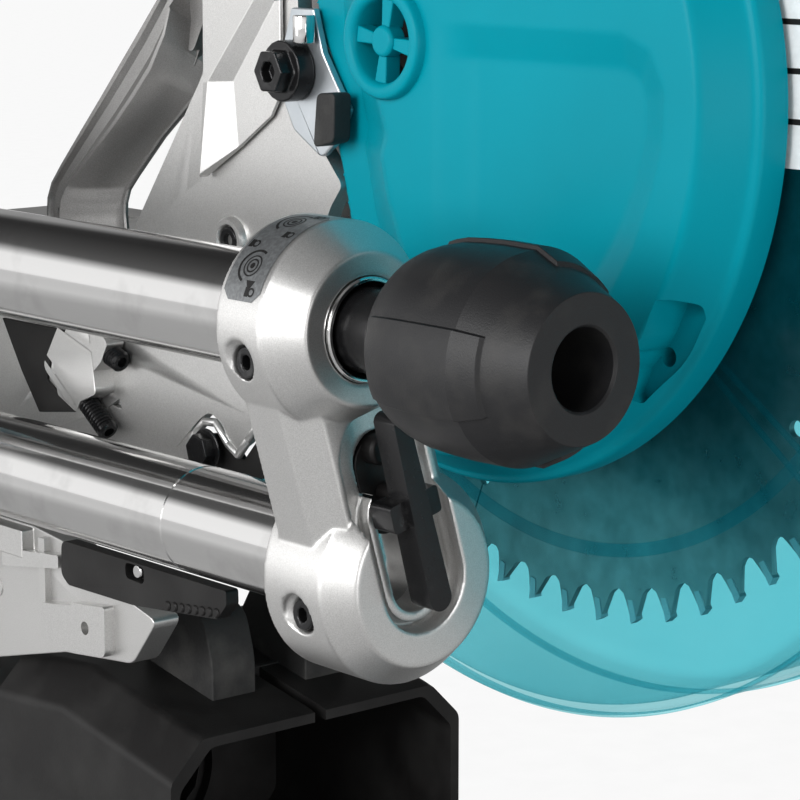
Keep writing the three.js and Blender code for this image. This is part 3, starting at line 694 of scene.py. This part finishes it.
# Stations along the loop's leg: its outer edge, its ridge and its inner edge, each as (y, z).
LOOP_STATIONS = (
    ((136.4, 379), (130.6, 379), (110.2, 379)), ((136.5, 384), (130.4, 384), (110.9, 384)),
    ((136, 388.6), (129.4, 388.4), (110.7, 388)), ((133.6, 393.6), (126.4, 392.4), (108.9, 392.2)),
    ((128.2, 399.6), (121, 396.6), (104.5, 396.6)), ((117, 411), (110.4, 404.8), (97.5, 403)),
    ((105.6, 422.4), (98.6, 414.2), (89.9, 409.9)), ((95.6, 432.6), (88.6, 423.2), (80, 417.4)),
    ((86, 442.2), (79.6, 432), (71.6, 423.8)), ((76.4, 451.8), (72.2, 442.4), (67.4, 432)),
    ((69.6, 458), (69, 450), (67.1, 443)),
)


# The leg's section as (share of the way, x): from the outer edge to the ridge, and on to the inner edge.
RIM_AND_CHANNEL = (
    (0, -30), (0, -42.6), (0.07, -43.5), (0.2, -43.4), (0.32, -41.7), (0.66, -41.4), (0.84, -42.7),
    (0.95, -43.5),
)
LONG_SLOPE = (
    (0.06, -43.3), (0.16, -42.2), (0.5, -37), (0.8, -32.6), (0.9, -31.6), (0.97, -31.4), (1, -30.9), (1, -30),
)
LOOP_TOP = (
    (77.6, 441.6), (75.6, 452.2, 6), (56, 473.6, 8), (40, 495, 8), (30.6, 488), (46, 466.6, 6),
    (62, 446.4, 4), (70, 432.6),
)
LOOP_TOP_MIDDLE = (45, 468.75)
LOOP_TOP_SHRINK = 0.92


def loop_ring(outer, ridge, inner):
    """The leg's section: a rim, a shallow channel, a ridge and a long slope down to the inner edge."""
    ring = []
    for (start, end), section in (((outer, ridge), RIM_AND_CHANNEL), ((ridge, inner), LONG_SLOPE)):
        for share, x in section:
            y, z = Vector(start).lerp(Vector(end), share)
            ring.append(placed("X", y, z, x))
    return ring


def carry_loop():
    rings = []
    for first, second in zip(LOOP_STATIONS, LOOP_STATIONS[1:]):
        low, high = loop_ring(*first), loop_ring(*second)
        for k in range(4):
            rings.append([a.lerp(b, k / 4) for a, b in zip(low, high)])
    rings.append(loop_ring(*LOOP_STATIONS[-1]))
    leg = bridged("leg", rings)
    middle = Vector(LOOP_TOP_MIDDLE)
    face = [(*middle.lerp(Vector(corner[:2]), LOOP_TOP_SHRINK), 3) for corner in LOOP_TOP]
    upper = joined(plate("X", LOOP_TOP, -34, -30), plate("X", face, -36.4, -30))
    leg = cut(leg, rod("X", (131, 385), 1.7, -45, -36, 24))
    # The loop wears the silver paint darkened with painted shade.
    dress(merged("carry_loop", [leg, upper]), "carry_handle", "silver_paint_painted_shade", 0.35, sharp=20)


def along_line(name, start, end, profile, sides=28):
    """A body turned about the line from start to end; profile points are (radius, distance from start)."""
    start, end = Vector(start), Vector(end)
    axis = (end - start).normalized()
    first = axis.orthogonal().normalized()
    second = axis.cross(first)
    rings = []
    for radius, reach in profile:
        ring = []
        for k in range(sides):
            turn = 2 * math.pi * k / sides
            out = first * math.cos(turn) + second * math.sin(turn)
            ring.append((start + axis * reach + out * max(radius, 0.01)) * MM)
        rings.append(ring)
    return bridged(name, rings)


def threaded(radius, core, length, pitch, chamfer):
    """The profile of a screw thread, as rings of two radii."""
    profile = [(0, 0), (core, 0)]
    at = pitch * 0.3
    while at + pitch < length - chamfer:
        profile += [(core, at), (radius, at + pitch * 0.3)]
        profile += [(radius, at + pitch * 0.5), (core, at + pitch * 0.8)]
        at += pitch
    profile += [(radius, at), (radius, length - chamfer), (radius - chamfer, length)]
    return profile + [(radius * 0.5, length), (radius * 0.5, length - 1.6), (0, length - 1.6)]


def stop_bolts():
    for node, start, end in (
        ("stop_bolt_upper", (-52, 108, 350.6), (-52, 84, 343.5)),
        ("stop_bolt_lower", (-52, 114, 336.5), (-52, 91.6, 320.9)),
    ):
        length = math.dist(start, end)
        bolt = along_line(node + "_look", start, end, threaded(3.35, 2.8, length, 1.25, 0.7))
        dress(bolt, node, "black_steel", 0, sharp=30)


BEAD = (
    (56, 321.6), (52, 326.4), (47.6, 330.2), (42.1, 330.6), (36.4, 325.2), (31.6, 322.6), (26.8, 327.9),
    (22.4, 332.6),
)
TRIM_SCREW = (45.6, 322.2)


def carriage_trim():
    """A bead round the carriage's cut-out, the screw beside it, and the dark shield behind both."""
    beads = []
    for start, end in zip(BEAD, BEAD[1:]):
        length = math.dist(start, end)
        profile = [(0, -0.8), (1.1, -0.4), (1.3, 0), (1.3, length), (1.1, length + 0.4), (0, length + 0.8)]
        beads.append(along_line("bead", (-48.1, *start), (-48.1, *end), profile, 16))
    trim(merged("carriage_bead", beads), "carriage_casting", "silver_paint", 0)
    cut_out = [(21.5, 331), (31, 321), (38, 328), (50, 326), (54, 320), (54, 303), (21.5, 303, 4)]
    shield = plate("X", cut_out, -46.8, -45)
    skirt = plate("X", [(54.3, 326), (128, 330), (160, 326), (160, 303), (54.3, 303)], -47.8, -45)
    trim(skirt, "carriage_casting", "silver_paint", 0.4)
    head = plate("X", arc(TRIM_SCREW, 5.2, 12, 312, 5), -53.4, -49.6)
    flange = rod("X", TRIM_SCREW, 6.4, -49.8, -48.9, 36)
    fitting(merged("carriage_shield", [shield]), "carriage_casting", "black_plastic", 0.4)
    fitting(merged("carriage_screw", [head, flange]), "carriage_casting", "black_steel", 0.5)


NOZZLE_HALF = 58
NOZZLE_BOTTOM = 136


def nozzle_ring(y, inset, top):
    """The nozzle's eight-sided section at one depth, with rounded corners."""
    half, top, bottom = NOZZLE_HALF - inset, top - inset, NOZZLE_BOTTOM + inset
    foot = 28 - inset / 2
    right = [(foot, bottom, 6), (half, 172, 6), (half, top - 12, 5), (half - 12, top, 5)]
    left = [(-x, z, radius) for x, z, radius in reversed(right)]
    corners = left[2:] + right + left[:2]
    return [placed("Y", x, z, y) for x, z in rounded(corners)]


def nozzle():
    """The dust nozzle: its roof rises towards the rear, and a rim runs round its mouth."""
    outside = ((54, 0, 231), (58, 0, 232), (112, 0, 242), (150, 0, 239))
    hollow = ((53, 3.2, 231), (58, 4.2, 232), (112, 4.2, 242), (146, 4.2, 239))
    outer = bridged("nozzle", [nozzle_ring(*at) for at in outside])
    inner = bridged("hollow", [nozzle_ring(*at) for at in hollow])
    slit = plate("Z", [(-2.2, 53), (2.2, 53), (2.2, 88), (-2.2, 88)], 220, 250)
    mouth = rod("Y", (0, 188), 26, 140, 152, 64)
    shell = cut(outer, inner, slit, mouth)
    shell.name = "dust_nozzle_look"
    dress(shell, "dust_nozzle", "black_plastic", 0.7, sharp=38)


def duct_funnel():
    """The collar that narrows from the nozzle's outline to the round duct."""
    start = nozzle_ring(150.5, 3, 236)
    centre = Vector((4, 196, 192)) * MM
    rings = [start, nozzle_ring(156, 3, 236)]
    for share in (0.35, 0.7, 1):
        ring = []
        for point in rings[1]:
            out = Vector((point.x - centre.x, 0, point.z - centre.z)).normalized() * 30 * MM
            ring.append(point.lerp(centre + out, share))
        rings.append(ring)
    bore = rod("Y", (1, 188), 25, 149, 198, 48)
    collar = cut(bridged("collar", rings), bore)
    trim(collar, "dust_duct", "black_plastic", 0.6, sharp=38)


LUG = (
    (106.7, 353.6), (90.6, 353), (87.1, 348.9), (90.4, 343.2), (98.1, 336.7), (99.3, 332.8), (104.5, 325.8),
    (114.2, 329.8), (117.1, 341.7),
)
LUG_POCKET = ((113, 337.4), (106, 345), (100, 345.2), (108.4, 337.8))
# A black sheet that paints the shade in the gap beside the lug.
LUG_GAP_PAINTED_SHADE = (
    (154.5, 348.6), (118.6, 349), (126.7, 341), (129.3, 331.8), (114.5, 323.6), (134.3, 320.8), (144.1, 333),
)


def lug_trim():
    """The lug that the stop bolts pass through, and a black sheet of painted shade in the gap beside it."""
    lug = plate("X", [(*corner, 1.5) for corner in LUG], -55.4, -49)
    pocket = plate("X", [(*corner, 0.6) for corner in LUG_POCKET], -57, -53)
    trim(cut(lug, pocket), "carriage_casting", "silver_paint", 0.9, segments=3)
    fitting(plate("X", LUG_GAP_PAINTED_SHADE, -49.3, -48.2), "carriage_casting", "black_plastic", 0.3)


def slots_round(centre, radii, low, high, half, count):
    """Narrow boxes set round an X axis, for cutting vents."""
    boxes = []
    for k in range(count):
        box = (radii[0], -half), (radii[1], -half), (radii[1], half), (radii[0], half)
        boxes.append(plate("X", radial(centre, 360 / count * k, box), low, high))
    return boxes


MOTOR_AXIS = (8, 518)


def motor():
    """The motor housing and its end cap with their air slots."""
    housing = copied("motor_housing")
    front = slots_round(MOTOR_AXIS, (43, 50), 106, 122, 1.1, 30)
    rear = slots_round(MOTOR_AXIS, (43, 50), 126, 140, 1.1, 30)
    housing = cut(housing, *front, *rear)
    dress(housing, "motor_housing", "teal_case", 0.5, sharp=30)
    cap = copied("motor_cap")
    cap = cut(cap, *slots_round(MOTOR_AXIS, (14, 33), 163, 170, 1.3, 20))
    dress(cap, "motor_cap", "black_plastic", 0.5, sharp=30)
    screws = []
    for turn in (45, 135, 225, 315):
        at = around(MOTOR_AXIS, 47.4, turn)
        screws.append(turned("X", at, [(0, 92), (2.2, 92), (2.2, 94.9), (1.2, 94.9), (1.2, 94), (0, 94)], 20))
    fitting(merged("motor_screws", screws), "motor_housing", "black_steel", 0.1)


def carriage():
    """The carriage casting, with its rear bridge kept low between the two side lugs."""
    body = copied("carriage_casting")
    high = plate("X", [(196, 365), (292, 365), (292, 376), (196, 376)], -75, 80)
    body = cut(body, high)
    dress(body, "carriage_casting", "silver_paint", 0.6)


GRIP_PAD = (
    (-194, 572, 5), (-205, 590, 8), (-196, 605, 10), (-158, 640, 14), (-124, 646, 5), (-123, 638, 4),
    (-152, 632.6, 12), (-189, 600, 12), (-187, 574, 5),
)


def handle_trim():
    """Soft grip pads on both sides of the main handle, and its body screws."""
    for side in (-1, 1):
        low, high = sorted((side * 16.6, side * 17.8))
        pad = plate("X", GRIP_PAD, low, high)
        fitting(merged("grip_pad", [pad]), "main_handle", "rubber", 0.3)
        screws = []
        for y, z in ((-66, 604), (-196, 548), (-112, 648)):
            low, high = sorted((side * 16, side * 17.5))
            screws.append(rod("X", (y, z), 3, low, high, 24))
        fitting(merged("handle_screws", screws), "main_handle", "black_steel", 0.2)


def scale_marks():
    """The angle marks on the miter scale."""
    marks = []
    for degrees in range(-159, -20):
        if degrees % 5:
            inner = 172
        elif degrees % 15:
            inner = 169
        else:
            inner = 164
        corners = radial((0, 0), degrees, ((inner, -0.28), (176, -0.28), (176, 0.28), (inner, 0.28)))
        marks.append(plate("Z", corners, 81.9, 82.15))
    fitting(merged("scale_marks", marks), "miter_scale", "black_plastic", 0)


def board_screws():
    """Countersunk screws along the kerf boards."""
    for side, x in (("left", -5.6), ("right", 5.6)):
        screws = []
        for y in (-300, -210, -120, -30, 55):
            profile = [(0, 98), (2.4, 98), (2.4, 99.95), (0.9, 99.95), (0.9, 99.2), (0, 99.2)]
            screws.append(turned("Z", (x, y), profile, 24))
        fitting(merged("board_screws", screws), "kerf_board_" + side, "zinc_plate", 0.1)


BOSS_SCREW = (45, 383.4)


def arm_screw():
    """The boss and socket screw low on the head arm, and the rolled tab over the stop plate's bolt."""
    boss = [(4.2, -38), (7.2, -38), (7, -40.6), (6.2, -41.6), (5, -41.6), (4.4, -41), (4.2, -39)]
    trim(turned("X", BOSS_SCREW, boss, 48, closed=True), "head_arm", "silver_paint", 0, sharp=40)
    screw = [(0, -38), (4, -38), (4, -40.8), (3.6, -41.2), (2, -41.2), (2, -39), (0, -39)]
    fitting(turned("X", BOSS_SCREW, screw, 36), "head_arm", "black_steel", 0.2)
    tab = [(0, 442.6), (2.9, 442.6), (3.1, 443), (3.1, 450), (2.9, 450.4), (0, 450.4)]
    fitting(turned("Z", (-45.6, 3.2), tab, 32), "stop_plate", "polished_steel", 0.2)


LEVER_SIDE = (
    (104.5, 286.4, 3), (105, 275.4, 4), (101, 272.7, 3), (66.6, 273, 6), (24.7, 277, 3), (20.2, 282, 2),
    (20.4, 286.3, 1),
)


def release_lever():
    lever = plate("X", LEVER_SIDE, -61.8, -57.2)
    window = plate("X", [(70.4, 285.6, 2), (70.4, 281, 2), (60.8, 280.4, 2), (60.8, 285.6, 2)], -64, -58.6)
    lever = cut(lever, window)
    lever.name = "release_lever_look"
    dress(lever, "release_lever", "black_plastic", 0.6, segments=3)
    pads = []
    for k in range(8):
        middle = (25 + 3.4 * k, 278.9 - 0.36 * k)
        pads.append(turned("X", middle, [(0, -57.5), (1.5, -57.5), (1.5, -62), (1.1, -62.4), (0, -62.4)], 20))
    trim(merged("lever_ridges", pads), "release_lever", "black_plastic", 0.1)
    pin = turned("X", (65.6, 283.4), [(0, -57), (2.2, -57), (2.2, -60.6), (1.8, -61), (0, -61)], 32)
    fitting(pin, "release_lever", "polished_steel", 0.1)


BRACKET_BLOCK = (
    (119.4, 263.4, 1), (100.8, 265.9, 1), (99.6, 254.4, 1), (90, 254, 2), (89.6, 266, 1), (84, 267.4, 1),
    (84, 258, 2), (88, 252.6, 2), (104, 250.6, 2), (119.4, 252.4, 1),
)


def bracket_trim():
    """Raised ribs and the tapped block on the lower bracket."""
    shelf = plate("X", [(140, 277.4, 1), (108, 280.6, 1), (108, 276.4, 1), (140, 271.6, 1)], -60.8, -56)
    upright = plate("X", [(122, 283.6), (118.6, 283.8), (118.6, 262), (122, 262)], -58.8, -56)
    block = plate("X", BRACKET_BLOCK, -60.4, -56)
    tapped = rod("X", (94.6, 260), 2.1, -64, -50, 24)
    slab = plate("X", [(102, 266.6, 1), (84, 268.6, 1), (84, 252.6, 3), (104, 250.4, 2)], -60.4, -56)
    block = cut(joined(block, slab), tapped)
    marks = []
    for y, z in ((150, 262), (168, 254), (186, 262)):
        ring = [(2.6, -56), (3.2, -56), (3.2, -56.9), (2.6, -56.9)]
        marks.append(turned("X", (y, z), ring, 32, closed=True))
    trim(merged("bracket_trim", [shelf, upright, block, *marks]), "lower_bracket", "silver_paint", 0.5)


COVER_EDGE = ((52.4, 470), (52.5, 452.8), (52.6, 428.7), (55, 401.2))
COVER_RIDGES = (
    ((19.5, 470), (27.9, 453.6), (50, 429.4), (54.4, 402)),
    ((17.2, 470), (21.1, 453.8), (41, 429.9), (38.9, 411)),
)
COVER_FAR = ((19.9, 471), (19.4, 454), (19.2, 428), (24, 420.8))


def arm_cover():
    """The cover's folded face: a raised strip, a step down between two ridges, and a lower flat."""
    rows = (
        (COVER_EDGE, -43.8), (COVER_RIDGES[0], -44.2), (COVER_RIDGES[1], -41.5), (COVER_FAR, -41.2),
    )
    front = [[placed("X", y, z, x) for y, z in row] for row, x in rows]
    back = [[placed("X", y, z, -40) for y, z in row] for row, x in rows]
    bm = bmesh.new()
    grids = [[[bm.verts.new(p) for p in row] for row in side] for side in (front, back)]
    count = len(COVER_EDGE)
    for grid in grids:
        for a, b in zip(grid, grid[1:]):
            for k in range(count - 1):
                bm.faces.new((a[k], a[k + 1], b[k + 1], b[k]))
    loops = []
    for grid in grids:
        down, up = [row[-1] for row in grid[1:]], [row[0] for row in grid[-2:0:-1]]
        loops.append(grid[0] + down + grid[-1][-2::-1] + up)
    for k in range(len(loops[0])):
        n = (k + 1) % len(loops[0])
        bm.faces.new((loops[0][k], loops[0][n], loops[1][n], loops[1][k]))
    bmesh.ops.recalc_face_normals(bm, faces=bm.faces)
    cover = new_object("arm_cover_look", mesh_of("arm_cover_look", bm))
    dress(cover, "arm_cover", "silver_paint", 0.6, sharp=7)


# ---- blade case: a height field over the saw's side, in (y, z), raised towards -X ----
COVER = (-59.5, 431.5)
COVER_RIM = 102.5
CASE_BACK = -31
REAR_EDGE = (
    (12, 540), (11, 480), (5, 445), (3, 432), (0, 420), (-4, 409), (-8, 393), (-17, 372), (-9, 355),
    (-3, 343),
)
PANEL = (
    (-30, 451.5), (-128, 451.5), (-138, 447.5), (-143, 438), (-142.5, 425), (-139, 413), (-133, 399),
    (-124, 385), (-112, 376), (-95, 350), (-30, 350),
)
BOSS = (-41, 445.4)
SLOT = (
    (-140.7, 387.9, 1), (-143.8, 387.9, 4), (-147.2, 386.4, 1.6), (-146.6, 382.8, 6), (-139.9, 371.3, 40),
    (-127, 359.2, 1), (-125.2, 361.8, 1), (-128, 368.6, 2), (-135.6, 377.4, 8),
)


def smooth(low, high, value):
    t = np.clip((value - low) / (high - low), 0, 1)
    return t * t * (3 - 2 * t)


def distance_to_line(points, start, end):
    start, end = np.array(start, float), np.array(end, float)
    along = end - start
    t = np.clip(((points - start) @ along) / (along @ along), 0, 1)
    return np.linalg.norm(points - (start + t[:, None] * along), axis=1)


def distance_inside(points, corners):
    """How far each point lies inside a closed outline; negative outside."""
    ring = list(corners) + [corners[0]]
    nearest = np.min([distance_to_line(points, a, b) for a, b in zip(ring, ring[1:])], axis=0)
    inside = np.zeros(len(points), bool)
    y, z = points[:, 0], points[:, 1]
    for (y0, z0), (y1, z1) in zip(ring, ring[1:]):
        if z0 != z1:
            crosses = ((z0 > z) != (z1 > z)) & (y < (y1 - y0) * (z - z0) / (z1 - z0) + y0)
            inside ^= crosses
    return np.where(inside, nearest, -nearest)


def case_height(points):
    """Height of the case's face above CASE_BACK at each (y, z)."""
    radius = np.linalg.norm(points - np.array(COVER), axis=1)
    front = np.interp(radius, [0, 92.4, 93.6, 100.2, 101, 102, 102.5], [22, 22, 21.4, 9.6, 9.2, 8.6, 7.4])
    edge = np.min([distance_to_line(points, a, b) for a, b in zip(REAR_EDGE, REAR_EDGE[1:])], axis=0)
    edge = edge - 3.4 * smooth(414, 422, points[:, 1]) * smooth(446, 438, points[:, 1])
    rear = np.interp(edge, [0, 0.6, 1.6, 13.5, 15, 33.5, 36, 200], [5.5, 7.4, 8, 9, 9.8, 21.2, 22, 22])
    height = np.minimum(front, rear)
    depth = distance_inside(points, PANEL)
    fade = smooth(-58, -74, points[:, 0]) * smooth(366, 398, points[:, 1])
    wall = np.interp(depth, [0, 0.7, 9, 10.2], [0, 0.03, 0.97, 1])
    height = height - 3.4 * wall * fade
    boss = np.linalg.norm(points - np.array(BOSS), axis=1)
    fillet = 25 - np.interp(boss, [15.4, 15.9, 17, 19.5, 23], [3.5, 5, 7, 10, 25])
    return np.where(boss < 23, np.maximum(height, fillet), height)


def case_face():
    turns, rings = 400, 116
    shares = 1 - (1 - np.linspace(0, 1, rings)) ** 1.25
    loops = []
    for share in shares[1:]:
        points = np.array(arc(COVER, COVER_RIM * share, 0, 360, turns)[:-1])
        heights = case_height(points)
        loops.append([placed("X", y, z, CASE_BACK - height) for (y, z), height in zip(points, heights)])
    back = [Vector((CASE_BACK * MM, p.y, p.z)) for p in loops[-1]]
    loops.append(back)
    face = bridged("case_face", loops)
    slot = plate("X", SLOT, -60, -40.5)
    hole = rod("X", (-133.4, 371.7), 2.5, -60, -32)
    window = rod("X", BOSS, 11.4, -60, -41, 72)
    behind = plate("X", [*REAR_EDGE, (60, 320), (80, 440), (60, 560)], -70, -20)
    face = cut(face, behind, slot, hole, window)
    face.name = "case_face"
    dress(face, "blade_case", "teal_case", 0, sharp=50)


def boss_spokes():
    """The hub and four spokes in the round window, with a dark well behind them."""
    rim = [
        (11, -42), (15.7, -42), (15.4, -54.6), (14.8, -55.7), (13.6, -56.1), (12.2, -55.9), (11.4, -55.2),
        (11, -54),
    ]
    ring = turned("X", BOSS, rim, 96, closed=True)
    hub = turned("X", BOSS, [(0, -50), (4.2, -50), (4.2, -54.6), (3.4, -55.4), (0, -55.4)], 48)
    parts = [ring, hub]
    for k in range(4):
        corners = radial(BOSS, 8 + 90 * k, ((3.4, -1.5), (11.2, -2.3), (11.2, 2.3), (3.4, 1.5)))
        parts.append(plate("X", corners, -54.2, -49))
    trim(merged("boss_spokes", parts), "blade_case", "teal_case", 0.5)
    well = turned("X", BOSS, [(0, -41), (10.9, -41), (10.9, -46), (10.6, -46), (10.6, -41.5), (0, -41.5)], 48)
    well.name = "boss_well"
    trim(well, "blade_case", "black_plastic", 0)


BLADE_AXIS = (-60, 415)


def case_hood():
    """The rest of the upper guard: a band over the blade and its two side walls."""
    hood = plate("X", band(BLADE_AXIS, 163.6, 167.6, 30, 152, 72), -33, 27.4)
    left = plate("X", band(BLADE_AXIS, 92, 164.5, 62, 152, 72), -33, -30.8)
    right = plate("X", band(BLADE_AXIS, 100, 164.5, 30, 152, 72), 25, 27.4)
    hood = joined(hood, left, right)
    ribs = []
    for turn in (44, 78, 112, 140):
        ribs.append(plate("X", band(BLADE_AXIS, 166, 169.2, turn - 0.6, turn + 0.6, 4), -31, 25))
    hood = joined(hood, *ribs)
    hood.name = "case_hood"
    trim(hood, "blade_case", "teal_case", 0.8)


# ---- lower guard and blade ----
GUARD_CENTRE = (-65, 420)
GUARD_TURNS = (153, 333)


def swept(name, centre, section, start, end, steps=120):
    """A body with a closed (radius, x) section, turned part of the way about the X axis."""
    rings = []
    for k in range(steps + 1):
        turn = start + (end - start) * k / steps
        rings.append([placed("X", *around(centre, radius, turn), x) for radius, x in section])
    return bridged(name, rings)


def lower_guard():
    outer = arc((148, -21.4), 7, 270, 360, 7) + arc((148, 15.4), 7, 0, 90, 7)
    inner = arc((148, 15.4), 4.2, 90, 0, 7) + arc((148, -21.4), 4.2, 360, 270, 7)
    section = [(78, -28.4)] + outer + [(84, 22.4), (84, 19.6)] + inner + [(78, -25.6)]
    cup = swept("lower_guard_look", GUARD_CENTRE, section, *GUARD_TURNS)
    dress(cup, "lower_guard", "clear_teal", 0)
    ribs = []
    for centre, inner, outer, low, high, turns in (
        ((-88, 419.5), 103.3, 106.8, -28.9, -28.3, (186, 318)),
        (GUARD_CENTRE, 154.6, 155.6, -22, -19.6, GUARD_TURNS),
        (GUARD_CENTRE, 154.6, 155.6, 12, 14.6, GUARD_TURNS),
    ):
        section = [(inner, low), (outer, low), (outer, high), (inner, high)]
        ribs.append(swept("rib", centre, section, *turns))
    for turn in (214, 216.6):
        corners = radial(GUARD_CENTRE, turn, ((84, -0.7), (150, -0.7), (150, 0.7), (84, 0.7)))
        ribs.append(plate("X", corners, -29, -28.3))
    trim(merged("guard_ribs", ribs), "lower_guard", "clear_teal", 0)


def guard_label():
    """A plain pale label with dark rules on the guard's side."""
    sheet = plate("X", [(-153, 419.4, 1), (-191, 419.4, 1), (-191, 478, 1), (-153, 459, 1)], -28.75, -28.3)
    trim(sheet, "lower_guard", "label_film", 0)
    rules = []
    for start, height in ((-155, 430.6), (-155, 442.6), (-155, 454.2), (-168, 465.8)):
        low, high = height - 0.7, height + 0.7
        rules.append(plate("X", [(start, low), (-190, low), (-190, high), (start, high)], -28.95, -28.5))
    fitting(merged("label_rules", rules), "lower_guard", "black_plastic", 0)


TEETH = 60
BLADE_PHASE = -90 + 13.9


# Points round a tooth's gullet, a carbide tip and a slot's sides, each as (radius, degrees behind the tooth).
GULLET = (
    (129.3, 0), (128.4, 0.9), (125.2, 1.7), (121.9, 2.6), (120.6, 3.5), (120.4, 4.4), (121.6, 5.1),
    (124, 5.45),
)
TIP = (130, 0), (128.9, 1), (123.6, 0.75), (123.4, -0.12)
SLIT = (104, 0.15), (124, 0.15), (124, -0.15), (104, -0.15)


def behind_tooth(shape, turn):
    return [around(BLADE_AXIS, radius, turn - back) for radius, back in shape]


def blade():
    outline, tips = [], []
    for k in range(TEETH):
        turn = BLADE_PHASE - k * 360 / TEETH
        outline += behind_tooth(GULLET, turn)
        tips.append(plate("X", behind_tooth(TIP, turn), -1.3, 1.3))
    disc = plate("X", outline, -0.95, 0.95)
    holes = [rod("X", BLADE_AXIS, 12.6, -3, 3, 48)]
    for k in range(5):
        turn = BLADE_PHASE + 7.2 + 72 * k
        holes.append(plate("X", behind_tooth(SLIT, turn), -3, 3))
        holes.append(rod("X", around(BLADE_AXIS, 103.6, turn), 2.3, -3, 3, 24))
    disc = cut(disc, *holes)
    disc.name = "blade_look"
    dress(disc, "blade", "blade_steel", 0)
    trim(merged("carbide_tips", tips), "blade", "zinc_plate", 0)


rails()
end_block()
bore_ring()
decal()
latch()
lock_knob()
carry_loop()
arm_cover()
stop_bolts()
carriage_trim()
arm_screw()
release_lever()
bracket_trim()
lug_trim()
nozzle()
duct_funnel()
guard_label()
motor()
carriage()
handle_trim()
scale_marks()
board_screws()
case_face()
boss_spokes()
case_hood()
lower_guard()
blade()

for name in NODE_BODY:
    if name not in dressed:
        dress(copied(name), name, NODE_SLOT[name], 0.6)


# ---- stage ----
def make_floor():
    mesh = bpy.data.meshes.new("floor")
    reach = 30
    corners = [(-reach, -reach, 0), (reach, -reach, 0), (reach, reach, 0), (-reach, reach, 0)]
    mesh.from_pydata(corners, [], [(0, 1, 2, 3)])
    floor = new_object("floor", mesh)
    n = Nodes("floor")
    speck = n.noise(40, 3)
    n.finish(n.mottle(speck, 0.3, 0.7, (0.46, 0.46, 0.46), (0.50, 0.50, 0.50)), 0.85)
    pale = n.add("ShaderNodeEmission")
    n.link(n.mottle(speck, 0.3, 0.7, (0.98, 0.98, 0.98), (1.0, 1.0, 1.0)), pale.inputs["Color"])
    distance = n.add("ShaderNodeVectorMath")
    distance.operation = "LENGTH"
    n.link(n.add("ShaderNodeTexCoord").outputs["Object"], distance.inputs[0])
    far = n.spread(distance.outputs["Value"], 0.26, 0.75, 0.9, 1.7)
    path = n.add("ShaderNodeLightPath")
    share = n.add("ShaderNodeMath")
    share.operation = "MAXIMUM"
    n.link(n.spread(path.outputs["Is Camera Ray"], 0, 0.95), share.inputs[0])
    n.link(far, share.inputs[1])
    n.show_mixed(share.outputs[0], n.shader.outputs[0], pale.outputs[0])
    mesh.materials.append(n.material)


# Brightness against height over the horizon (0.5 is level), and against how far round to the left.
SKY_STOPS = (
    (0.0, 0.30), (0.46, 0.75), (0.5, 1.0), (0.66, 1.0), (0.73, 0.10), (0.84, 0.07), (0.95, 0.30), (1.0, 0.36),
)
SIDE_STOPS = ((0.0, 0.22), (0.45, 0.40), (0.7, 1.15), (1.0, 1.3))
BRIGHT_SIDE = (-0.9, 0.1, 0)


def sky_ramp(tree, direction, stops, place):
    facing = tree.nodes.new("ShaderNodeVectorMath")
    facing.operation = "DOT_PRODUCT"
    facing.inputs[1].default_value = direction
    spread = tree.nodes.new("ShaderNodeMapRange")
    spread.inputs["From Min"].default_value = -1
    ramp = tree.nodes.new("ShaderNodeValToRGB")
    set_stops(ramp, [(position, value / 2) for position, value in stops])
    tree.links.new(place.outputs["Generated"], facing.inputs[0])
    tree.links.new(facing.outputs["Value"], spread.inputs["Value"])
    tree.links.new(spread.outputs["Result"], ramp.inputs["Fac"])
    return ramp.outputs["Color"]


def make_world():
    """White for the camera; as light, a soft glow round the horizon that is strongest on the left."""
    world = bpy.data.worlds.new("studio")
    bpy.context.scene.world = world
    world.use_nodes = True
    tree = world.node_tree
    tree.nodes.clear()
    add, link = tree.nodes.new, tree.links.new
    seen = add("ShaderNodeBackground")
    seen.inputs["Color"].default_value = (1, 1, 1, 1)
    lit = add("ShaderNodeBackground")
    lit.inputs["Strength"].default_value = 4
    place = add("ShaderNodeTexCoord")
    both = add("ShaderNodeVectorMath")
    both.operation = "MULTIPLY"
    link(sky_ramp(tree, (0, 0, 1), SKY_STOPS, place), both.inputs[0])
    link(sky_ramp(tree, Vector(BRIGHT_SIDE).normalized(), SIDE_STOPS, place), both.inputs[1])
    link(both.outputs["Vector"], lit.inputs["Color"])
    mixed = add("ShaderNodeMixShader")
    link(add("ShaderNodeLightPath").outputs["Is Camera Ray"], mixed.inputs[0])
    link(lit.outputs[0], mixed.inputs[1])
    link(seen.outputs[0], mixed.inputs[2])
    link(mixed.outputs[0], add("ShaderNodeOutputWorld").inputs["Surface"])


LIGHTS_AIM = (0, 0, 0.4)


def area_light(name, at, size, power):
    data = bpy.data.lights.new(name, "AREA")
    data.shape = "RECTANGLE"
    data.size, data.size_y = size
    data.energy = power
    light = bpy.data.objects.new(name, data)
    light.location = at
    light.rotation_euler = (Vector(LIGHTS_AIM) - Vector(at)).to_track_quat("-Z", "Y").to_euler()
    bpy.context.scene.collection.objects.link(light)


make_floor()
make_world()
area_light("key", (-2.1, -0.35, 1.0), (1.2, 1.2), 36)
area_light("left", (-1.6, 0.8, 0.5), (0.9, 0.9), 6)
area_light("fill", (-0.1, -2.2, 0.45), (1.6, 0.7), 13)
bpy.context.scene.view_settings.view_transform = "Standard"
